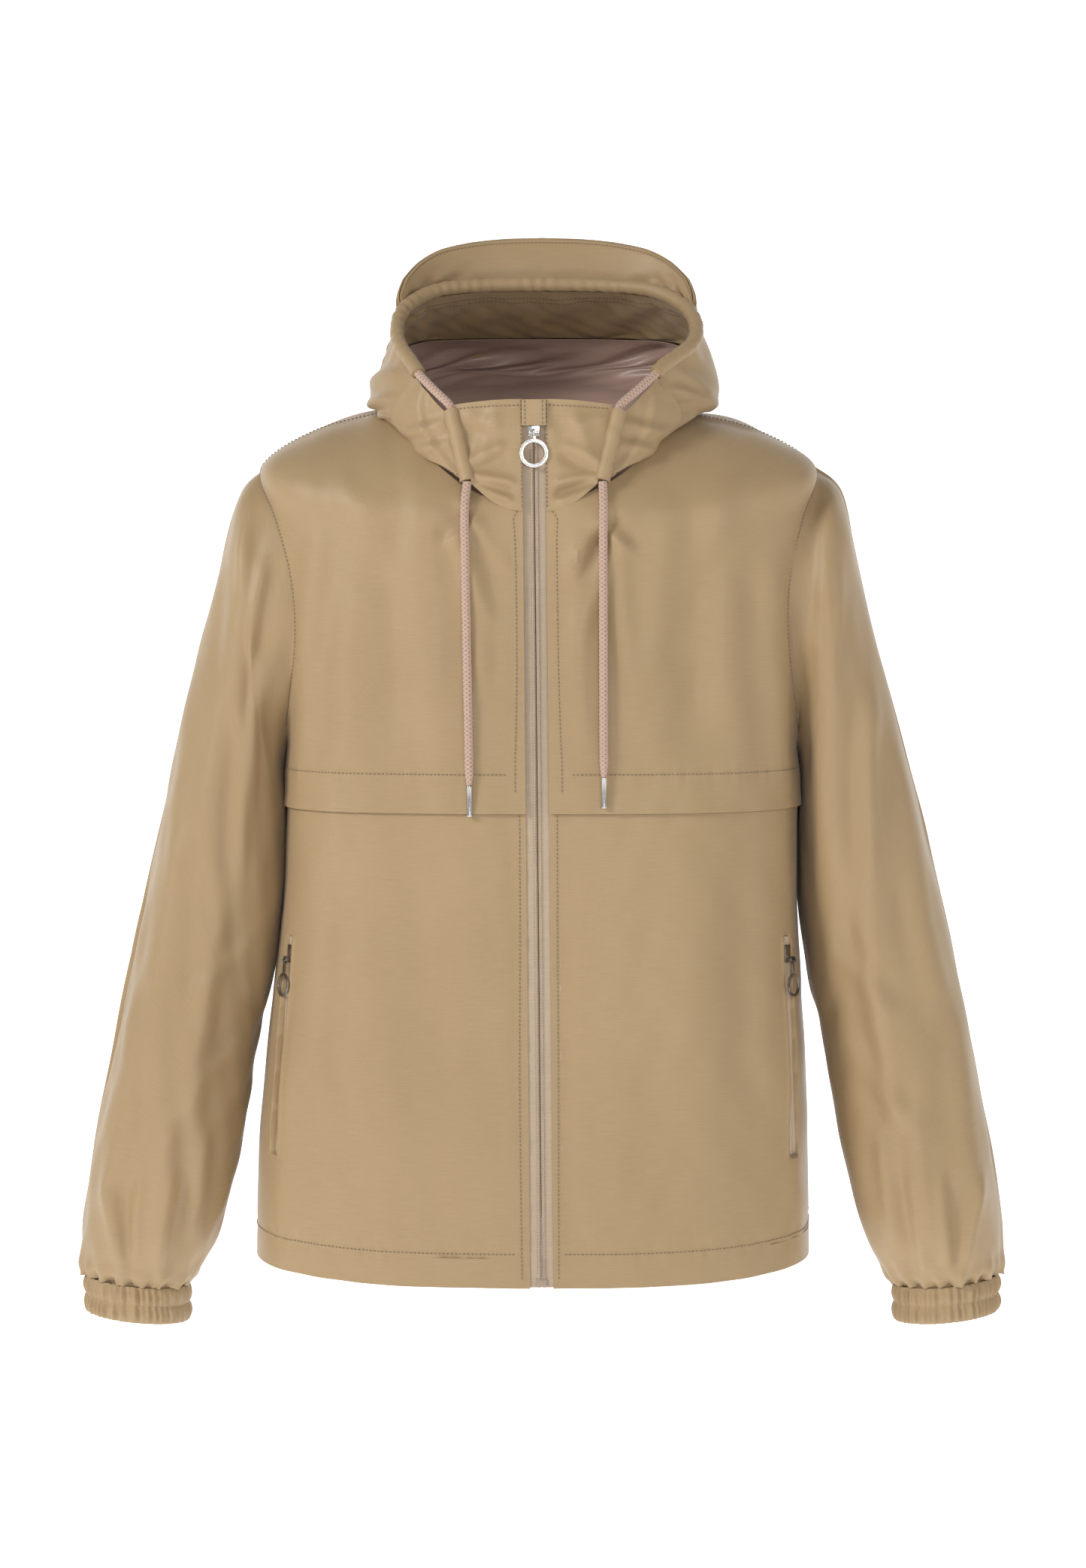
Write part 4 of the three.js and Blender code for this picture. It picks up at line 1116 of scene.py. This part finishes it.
def visor():
    """The brim: a front and a back ply closed at the edge over a stiffener, stitched just inside it."""
    for name, offset, seed, reach, inset in (
        ("hood_visor", 0, 131, 3.24, 0), ("hood_visor_back", 3.6, 132, 3.24, 0),
        ("visor_stiffener", 1.6, 133, 3.0, 0.12)):
        column, v = grid((-reach, reach), (inset, 1 - inset), 220, 40)
        points = visor_point(column, v)
        normal = normals_of(points)
        edge = np.clip((1 - v) / 0.05, 0, 1) * np.clip((reach - np.abs(column)) / 0.12, 0, 1)
        bulge = 1.3 * np.sin(np.pi * v) + 0.6 * ripple(column * 38, v * 30, seed, 5, 0.06, 0.05)
        creases = 1.6 * ripple(column * 38, v * 30, seed + 5, 5, 0.22, 0.3) * np.exp(-((v - 0.2) / 0.28) ** 2)
        creases *= np.clip((np.abs(column) - 0.8) / 1.5, 0.15, 1)
        height = (bulge + creases) * edge
        stitch = -0.6 * np.exp(-((v - 0.9) / 0.02) ** 2)
        if name == "hood_visor":
            height = height + stitch - 1.4 * (1 - edge)
            hood_piece(f"{name}_cloth", points + normal * height[..., None], SHELL, name)
            row = int(np.argmin(np.abs(v[0] - 0.9)))
            face = points + normal * height[..., None]
            stitch_row(hood_seams, face, normal, np.s_[6:-6, row], 0.2)
        elif name == "hood_visor_back":
            height = -offset * edge - 2.1 * (1 - edge) - 0.5 * height
            hood_piece(f"{name}_cloth", points + normal * height[..., None], SHELL, name)
        else:
            hood_piece(f"{name}_felt", points - normal * offset, ELASTIC, name, 0.4)


hood_seams = []
overlock = []
hood_panels()
hood_inside()
hood_casing()
visor()

# ---- Collar ----


def casing_ends(side):
    return np.array([-5 + side * 60.5, -86, 6.0]), np.array([-5 + side * 48.4, -97, -44.0])


def collar(name, side):
    u, v = grid((0, 1), (0, 1), 60, 70)
    bottom = ZIP_SHOWN + (45 - ZIP_SHOWN) * u
    top = ZIP_SHOWN + (57 - ZIP_SHOWN) * u
    across = bottom + (top - bottom) * v
    low = -66 + 20 * u * u
    z = low + (ZIP_TOP[2] + 2 - 4 * u * u - low) * v
    f = (ZIP_TOP[2] - z) / (ZIP_TOP[2] - ZIP_FOOT[2])
    y = ZIP_TOP[1] + (ZIP_FOOT[1] - ZIP_TOP[1]) * f + 9 * u * u * v - 0.8 * (1 - v)
    points = np.stack([zip_x(z) + side * across, y, z], -1)
    normal = normals_of(points) * side
    flip = -side
    lines = [(side * 47 - 5, -40, side * 10 - 5, -47, 4 * flip, 3.6),
             (side * 45 - 5, -47, side * 14 - 5, -60, 4, 3.2),
             (side * 50 - 5, -34, side * 20 - 5, -18, 4.5 * flip, 3.0),
             (side * 26 - 5, 8, side * 40 - 5, -30, 7, 2.4),
             (side * 52 - 5, 2, side * 24 - 5, -6, 6, 1.6)]
    calm = 1 - np.exp(-((across - ZIP_SHOWN) / 7) ** 2)
    points = points + normal * (folds(points, lines) * calm)[..., None]
    obj = cloth(f"{name}_collar_cloth", points, SHELL, flip=side < 0)
    mount(obj, "shell", "shell", f"{name}_collar")
    stitch_row(seams, points, normal, np.s_[1, 2:-1], 0.3)
    stitch_row(seams, points, normal, np.s_[2:-4, -5], 0.3)
    collar_casing(name, side)
    collar_side(name, side)


def collar_casing(name, side):
    top, foot = casing_ends(side)
    path = foot + (top - foot) * np.linspace(0, 1, 50)[:, None]
    path[:, 1] -= 0.5

    def flattened(s, angle):
        return 1 + 0.05 * ripple(s, angle * 4, 141 + side, 5, 0.35, 0.3)

    obj = tube(f"{name}_collar_casing_cloth", path, CASING_R - 0.3, SHELL, 24, flattened)
    mount(obj, "shell", "shell", f"{name}_collar_casing", f"{name}_collar_cord")


def collar_side(name, side):
    """The hood's front edge: it falls from the rim over the shoulder and is caught by the casing."""
    u, v = grid((0, 1), (0, 1), 70, 80)
    from_hood = hood((RIM_COLUMN + 0.04) * side + 0 * u, v, 3)
    top, foot = casing_ends(side)
    beside = top + (foot - top) * (0.02 + 0.96 * v)[..., None] + np.array([side * 4.6, 2.5, 0])
    ease = (u ** 0.85)[..., None]
    points = from_hood * (1 - ease) + beside * ease
    normal = normals_of(points) * side
    belly = 7 * np.sin(np.pi * u) * (0.35 + 0.65 * v) * np.clip((1.02 - v) / 0.1, 0, 1)
    lines = [
        (0.05, 0.75, 1.0, 0.15, 0.09, 2.2),
        (0.1, 0.98, 0.95, 0.5, 0.08, 2.4),
        (0.3, 0.1, 0.9, 0.95, 0.1, 1.6),
    ]
    for u0, v0, u1, v1, width, height in lines:
        q = ((u - u0) * (v1 - v0) - (v - v0) * (u1 - u0)) / math.hypot(u1 - u0, v1 - v0) / width
        ridge = np.exp(-q * q) - 0.6 * np.exp(-((q - 1.4) / 1.2) ** 2)
        belly = belly + height * ridge * np.sin(np.pi * u) ** 0.5
    points = points + normal * belly[..., None]
    hood_piece(f"{name}_collar_side_cloth", points, SHELL, f"{name}_collar_side", flip=side < 0)
    row = -4
    stitch_row(hood_seams, points, normal, np.s_[3:-3, row], 0.2)


def hood_drawcord():
    exits = rim_line(3)
    route = []
    for side, exit_point in ((RIGHT, exits[0]), (LEFT, exits[-1])):
        top, foot = casing_ends(side)
        way = (top - foot) / np.linalg.norm(top - foot)
        points = [top - way * 3, top + way * 4, (top + way * 6) * 0.5 + exit_point * 0.5 + [0, -2, -1]]
        route.append(points)
    rim = rim_line(41)
    path = spline(np.array(route[0] + list(rim) + route[1][::-1]), 420)

    def strands(s, angle):
        return 1 + 0.035 * np.sin(3 * angle + s * 1.9) * np.sin(3 * angle - s * 1.9)

    obj = tube("hood_drawcord_braid", path, 3.15, CORD, 18, strands)
    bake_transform(obj)
    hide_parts("hood_drawcord")


for side_name, side_sign in SIDES:
    collar(side_name, side_sign)
hood_drawcord()


# ---- Zips ----


def zip_strip(name, matrix, x0, x1, y, z0, z1, material, ridge, rows=240):
    """A strip of zip tape in a zip's own frame, mm, with a raised rib where the coil is sewn behind it."""
    x = np.linspace(x0, x1, 45)
    z = np.linspace(z0, z1, rows)
    xx, zz = np.meshgrid(x, z, indexing="ij")
    near = np.abs(np.abs(xx) - 1.9)
    yy = y - ridge * np.exp(-(near / 0.9) ** 4) + 0.12 * ripple(xx, zz, 161, 4, 0.3, 0.25)
    yy = yy + 0.9 * np.exp(-((xx / 0.4) ** 2))
    points = np.stack([xx, yy, zz], -1)
    turn = np.array(matrix)[:3, :3]
    world = points @ turn.T + np.array(matrix)[:3, 3] / MM
    return cloth(name, world, material, wall=0.5)


def coil(name, matrix, side, z0, z1, reach=3.2, low=4.9, high=6.7, pitch=1.5):
    """A sewn coil: a flat spiral rod behind the edge of the tape, its turns raised all the way round."""
    sides = 14
    rows = int((z1 - z0) / 0.36)
    z = np.linspace(z0, z1, rows)[:, None]
    turn = np.linspace(0, 2 * np.pi, sides, endpoint=False)[None, :]
    swell = 1 + 0.1 * np.sin(2 * np.pi * z / pitch + turn * side)
    x = side * (reach + 0.04) / 2 - np.cos(turn) * (reach - 0.04) / 2 * swell
    y = (low + high) / 2 + np.sin(turn) * (high - low) / 2 * swell
    points = np.stack([x, y, z + 0 * x], -1)
    turn3 = np.array(matrix)[:3, :3]
    world = points @ turn3.T + np.array(matrix)[:3, 3] / MM
    return loft(name, world, TAPE_THREAD)


def loft(name, rings, material):
    """A closed solid through equal closed loops of points, mm."""
    count, sides = rings.shape[:2]
    i, j = (a.reshape(-1) for a in np.meshgrid(range(count - 1), range(sides), indexing="ij"))
    k = (j + 1) % sides
    walls = np.stack([i * sides + j, i * sides + k, (i + 1) * sides + k, (i + 1) * sides + j], -1).tolist()
    ends = [list(range(sides))[::-1], [(count - 1) * sides + j for j in range(sides)]]
    obj = link(name, rings.reshape(-1, 3) * MM, walls + ends)
    flip_inward(obj)
    return finish_piece(obj, material, 50)


def main_zip():
    matrix = main_zip_matrix()
    length = float(np.linalg.norm(ZIP_TOP - ZIP_FOOT))
    turn, origin = np.array(matrix)[:3, :3], np.array(matrix)[:3, 3] / MM
    rows = []
    for name, side in SIDES:
        ends = sorted((side * 0.28, side * 15.5))
        tape = zip_strip(f"{name}_zip_tape_weave", matrix, ends[0], ends[1], 3.2, -length + 0.8, -0.5, TAPE,
                         0.9)
        mount(tape, "shell", "tape", f"{name}_zip_tape")
        spiral = coil(f"{name}_zip_coil_spiral", matrix, side, -length + 7.6, -2)
        mount(spiral, "shell", "tape", f"{name}_zip_coil")
        for x in (1.3, 2.8):
            z = np.linspace(-length + 10, -4, 400)
            points = np.stack([0 * z + side * x, 0 * z + 2.32, z], -1) @ turn.T + origin
            rows.append((points, np.repeat(-turn[:, 1][None], len(z), 0)))
    obj = stitches("zip_tape_stitches", rows, TAPE_THREAD, pitch=2.1, length=1.4, thick=0.27)
    mount(obj, "shell", "tape")
    main_hardware(matrix, length)


def slab(x0, x1, y0, y1, z0, z1, round_off=0.25):
    """A rounded block in a zip's own frame, mm."""
    start_piece()
    bpy.ops.mesh.primitive_cube_add(size=1, location=(0, 0, 0))
    obj = bpy.context.object
    obj.scale = ((x1 - x0) * MM, (y1 - y0) * MM, (z1 - z0) * MM)
    obj.location = ((x0 + x1) / 2 * MM, (y0 + y1) / 2 * MM, (z0 + z1) / 2 * MM)
    bpy.ops.object.transform_apply(location=True, rotation=True, scale=True)
    bevel = obj.modifiers.new("rounded", "BEVEL")
    bevel.width = round_off * MM
    bevel.segments = 3
    bpy.ops.object.modifier_apply(modifier="rounded")
    return obj


def bar(radius, length, place, axis="X"):
    start_piece()
    turn = {"X": (0, math.pi / 2, 0), "Y": (math.pi / 2, 0, 0), "Z": (0, 0, 0)}[axis]
    bpy.ops.mesh.primitive_cylinder_add(vertices=24, radius=radius * MM, depth=length * MM,
                                        location=[c * MM for c in place], rotation=turn)
    obj = bpy.context.object
    bpy.ops.object.transform_apply(location=True, rotation=True, scale=True)
    bevel = obj.modifiers.new("rounded", "BEVEL")
    bevel.width = 0.2 * MM
    bevel.segments = 2
    bpy.ops.object.modifier_apply(modifier="rounded")
    return obj


def ring(radius, thick, wide, place, turn, around=56, across=20):
    """A flattened ring: radius to the middle of its band, half thickness and half width of the band."""
    start_piece()
    bpy.ops.mesh.primitive_torus_add(major_radius=radius * MM, minor_radius=wide * MM, major_segments=around,
                                     minor_segments=across)
    obj = bpy.context.object
    obj.scale = (1, 1, thick / wide)
    bpy.ops.object.transform_apply(location=False, rotation=False, scale=True)
    obj.rotation_euler = turn
    obj.location = [c * MM for c in place]
    bpy.ops.object.transform_apply(location=True, rotation=True, scale=True)
    return obj


def assemble(name, parts, matrix, material, body, replaced, slot):
    """Joins made parts into one piece and sets it in its place."""
    start_piece()
    for part in parts:
        part.select_set(True)
    bpy.context.view_layer.objects.active = parts[0]
    if len(parts) > 1:
        bpy.ops.object.join()
    obj = parts[0]
    obj.name = name
    obj.data.transform(matrix)
    finish_piece(obj, material, 35)
    mount(obj, body, slot, *replaced)
    return obj


def plate(half_top, half_foot, y0, y1, centre, high=6.5):
    """A slider's plate, narrower at its foot."""
    obj = slab(-half_top, half_top, y0, y1, centre - high, centre + high, 0.5)
    resize_part(obj, lambda co: co.z < centre * MM, (half_foot / half_top, 1, 1), (0, 0, 0))
    return obj


def slider_parts(centre, half_top, half_foot, pivot_z):
    """Front and back plates, the bridge between them, and the bail that the pull hangs on."""
    return [
        plate(half_top, half_foot, 1.9, 3.1, centre),
        plate(half_top, half_foot, 7.0, 8.2, centre),
        slab(-0.35, 0.35, 2.8, 7.3, centre + 2.4, centre + 5.9, 0.1),
        slab(-3.7, -2.5, -2.7, 2.4, pivot_z - 1.1, pivot_z + 1.3, 0.35),
        slab(2.5, 3.7, -2.7, 2.4, pivot_z - 1.1, pivot_z + 1.3, 0.35),
        bar(0.8, 6.6, (0, -1.9, pivot_z)),
        slab(-2.4, 2.4, 1.5, 2.2, centre - 5.2, centre - 1.6, 0.3),
    ]


def pull_parts(outer, band, drop, pivot):
    """An eye on the bail, a short neck and a flat ring."""
    x, y, z = pivot
    across = (math.pi / 2, 0, 0)
    return [
        ring(2.15, 0.7, 0.75, (x, y, z), (0, math.pi / 2, 0), 28, 12),
        slab(x - 1.5, x + 1.5, y - 0.55, y + 0.55, z - (drop - outer) - 0.9, z - 2.3, 0.3),
        ring(outer - band, 0.62, band, (x, y, z - drop), across),
        ring(outer - 0.35, 0.72, 0.3, (x, y, z - drop), across, 56, 10),
        ring(outer - 2 * band + 0.35, 0.72, 0.3, (x, y, z - drop), across, 56, 10),
    ]


def main_hardware(matrix, length):
    assemble("zip_slider_metal", slider_parts(-18, 5, 4.2, -22), matrix, NICKEL, "main_slider",
             ["zip_slider"], "nickel")
    assemble("zip_pull_ring_metal", pull_parts(10.4, 1.4, 14.8, (0, -1.9, -22)), matrix, NICKEL, "main_pull",
             ["zip_pull_ring"], "nickel")
    box = [
        slab(-4.2, 4.2, 1.8, 6.9, -length + 1, -length + 7.2, 0.7),
        slab(-3.2, 3.2, 1.5, 2.1, -length + 2, -length + 6.2, 0.25),
    ]
    assemble("zip_retainer_box_moulded", box, matrix, TAPE_THREAD, "shell", ["zip_retainer_box"], "tape")
    pin = [slab(0.9, 2.5, 2.2, 3.4, -length + 8, -length + 21, 0.3)]
    assemble("zip_insertion_pin_moulded", pin, matrix, TAPE_THREAD, "shell", ["zip_insertion_pin"], "tape")
    garage(matrix)


def garage(matrix):
    """The small flap over the top of the zip, stitched down both sides."""
    x, z = grid((-8.6, 8.6), (-17, 1.5), 30, 40)
    y = -3.9 - 0.5 * np.cos(np.pi * x / 17) + 0.25 * ripple(x, z, 171, 4, 0.4, 0.3)
    turn, origin = np.array(matrix)[:3, :3], np.array(matrix)[:3, 3] / MM
    points = np.stack([x, y, z], -1) @ turn.T + origin
    obj = cloth("zip_garage_cloth", points, SHELL, 1.0)
    mount(obj, "shell", "shell", "zip_garage")
    normal = normals_of(points)
    stitch_row(seams, points, normal, np.s_[4, 1:-1], 0.2)
    stitch_row(seams, points, normal, np.s_[-5, 1:-1], 0.2)


def pocket_zip(name, side):
    """The pocket's zip: tape over two coils in the slot, with a slider and a ring of antique metal."""
    matrix = pocket_matrix(side)
    z0, z1 = -63 - 78 - 2, 15 + 2
    strip = zip_strip(f"{name}_pocket_tape_weave", matrix, -5.5, 5.5, 5.4, z0, z1, TAPE, 0.7, 120)
    parts = [strip]
    for half, label in ((RIGHT, "front"), (LEFT, "rear")):
        parts.append(coil(f"{name}_pocket_coil_{label}", matrix, half, z0 + 2, z1 - 2, 2.7, 6.4, 8.0))
    for part in parts:
        mount(part, "shell", "tape")
    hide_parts(f"{name}_pocket_zip")
    body, pull = f"{name}_pocket_slider", f"{name}_pocket_pull"
    lifted = matrix @ Matrix.Translation((0, 1.9 * MM, 0))
    assemble(f"{name}_pocket_slider_metal", slider_parts(4.5, 4.4, 3.8, 0), lifted, GUNMETAL, body, [body],
             "gunmetal")
    assemble(f"{name}_pocket_pull_metal", pull_parts(8.8, 1.15, 18.6, (0, 0, 0)), matrix, GUNMETAL, pull,
             [pull], "gunmetal")
    tack(f"{name}_pocket_tack", matrix)


def tack(name, matrix):
    """A dense bar of thread across the foot of the pocket zip."""
    x = np.linspace(-5, 5, 12)
    turn, origin = np.array(matrix)[:3, :3], np.array(matrix)[:3, 3] / MM
    runs = []
    for z in np.arange(-145.5, -142, 0.5):
        points = np.stack([x, 0 * x + 3.4, 0 * x + z], -1) @ turn.T + origin
        runs.append((points, np.repeat(-turn[:, 1][None], len(x), 0)))
    obj = stitches(name, runs, THREAD, pitch=1.6, length=2.0, thick=0.22)
    mount(obj, "shell", "shell")


for side_name, side_sign in SIDES:
    pocket_zip(side_name, side_sign)
main_zip()

# ---- Thread on the body ----

body_thread = stitches("body_topstitching", seams, THREAD)
mount(body_thread, "shell", "shell")
hood_thread = stitches("hood_topstitching", hood_seams + overlock, THREAD)
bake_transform(hood_thread)

# ---- Finishes of the plain carried-over parts ----

FINISHES = {"shell": SHELL, "lining": LINING, "tape": TAPE, "elastic": ELASTIC, "cord": CORD,
            "nickel": NICKEL, "gunmetal": GUNMETAL}
for entry in frame["record"]["subparts"]:
    node = frame["nodes"][entry["node"]]
    node.data.materials.clear()
    node.data.materials.append(FINISHES[entry["material_slot"]])

# ---- Floor and light ----

FLOOR_DROP = 1.45       # metres from the hood down to the floor
FLOOR_HALF_WIDTH = 9
SURROUND_RADIUS = 15


def backdrop():
    """A pale floor that sweeps up behind the jacket, and a pale surround that casts no light or shade."""
    material, _, shader = nodes_for("pale_floor")
    shader.inputs["Base Color"].default_value = (0.93, 0.93, 0.93, 1)
    shader.inputs["Roughness"].default_value = 0.9
    shader.inputs["Emission Color"].default_value = (1, 1, 1, 1)
    shader.inputs["Emission Strength"].default_value = 0.75
    profile = [(-6, 0), (2.5, 0), (3.4, 0.12), (4.1, 0.6), (4.4, 1.4), (4.4, 5)]
    smooth = along([list(p) for p in profile], np.linspace(0, len(profile) - 1, 60))
    x = np.linspace(-FLOOR_HALF_WIDTH, FLOOR_HALF_WIDTH, 3)
    points = np.stack([np.repeat(x[:, None], 60, 1), np.repeat(smooth[None, :, 0], 3, 0),
                       np.repeat(smooth[None, :, 1] - FLOOR_DROP, 3, 0)], -1)
    obj = cloth("floor", points / MM, material, wall=5)
    start_piece()
    bpy.ops.mesh.primitive_uv_sphere_add(segments=48, ring_count=24, radius=SURROUND_RADIUS)
    surround = bpy.context.object
    surround.name = "surround"
    finish_piece(surround, material)
    surround.visible_diffuse = False
    surround.visible_glossy = False
    surround.visible_shadow = False


def area_light(name, place, size, power, aim=(0, 0, -0.25)):
    data = bpy.data.lights.new(name, "AREA")
    data.shape = "RECTANGLE"
    data.size, data.size_y = size
    data.energy = power
    light = bpy.data.objects.new(name, data)
    light.location = place
    light.rotation_euler = (Vector(aim) - Vector(place)).to_track_quat("-Z", "Y").to_euler()
    bpy.context.scene.collection.objects.link(light)


def lights():
    world = bpy.data.worlds.new("studio")
    world.use_nodes = True
    background = world.node_tree.nodes["Background"]
    background.inputs["Color"].default_value = (1, 1, 1, 1)
    background.inputs["Strength"].default_value = 0.34
    bpy.context.scene.world = world
    area_light("key", (-2.5, -1.9, 1.3), (0.8, 0.8), 62)
    area_light("front", (0.5, -3.2, 0.5), (0.9, 0.9), 22)
    area_light("rim", (2.6, -1.0, 0.6), (0.5, 1.2), 9)
    bpy.context.scene.view_settings.view_transform = "Standard"


backdrop()
lights()
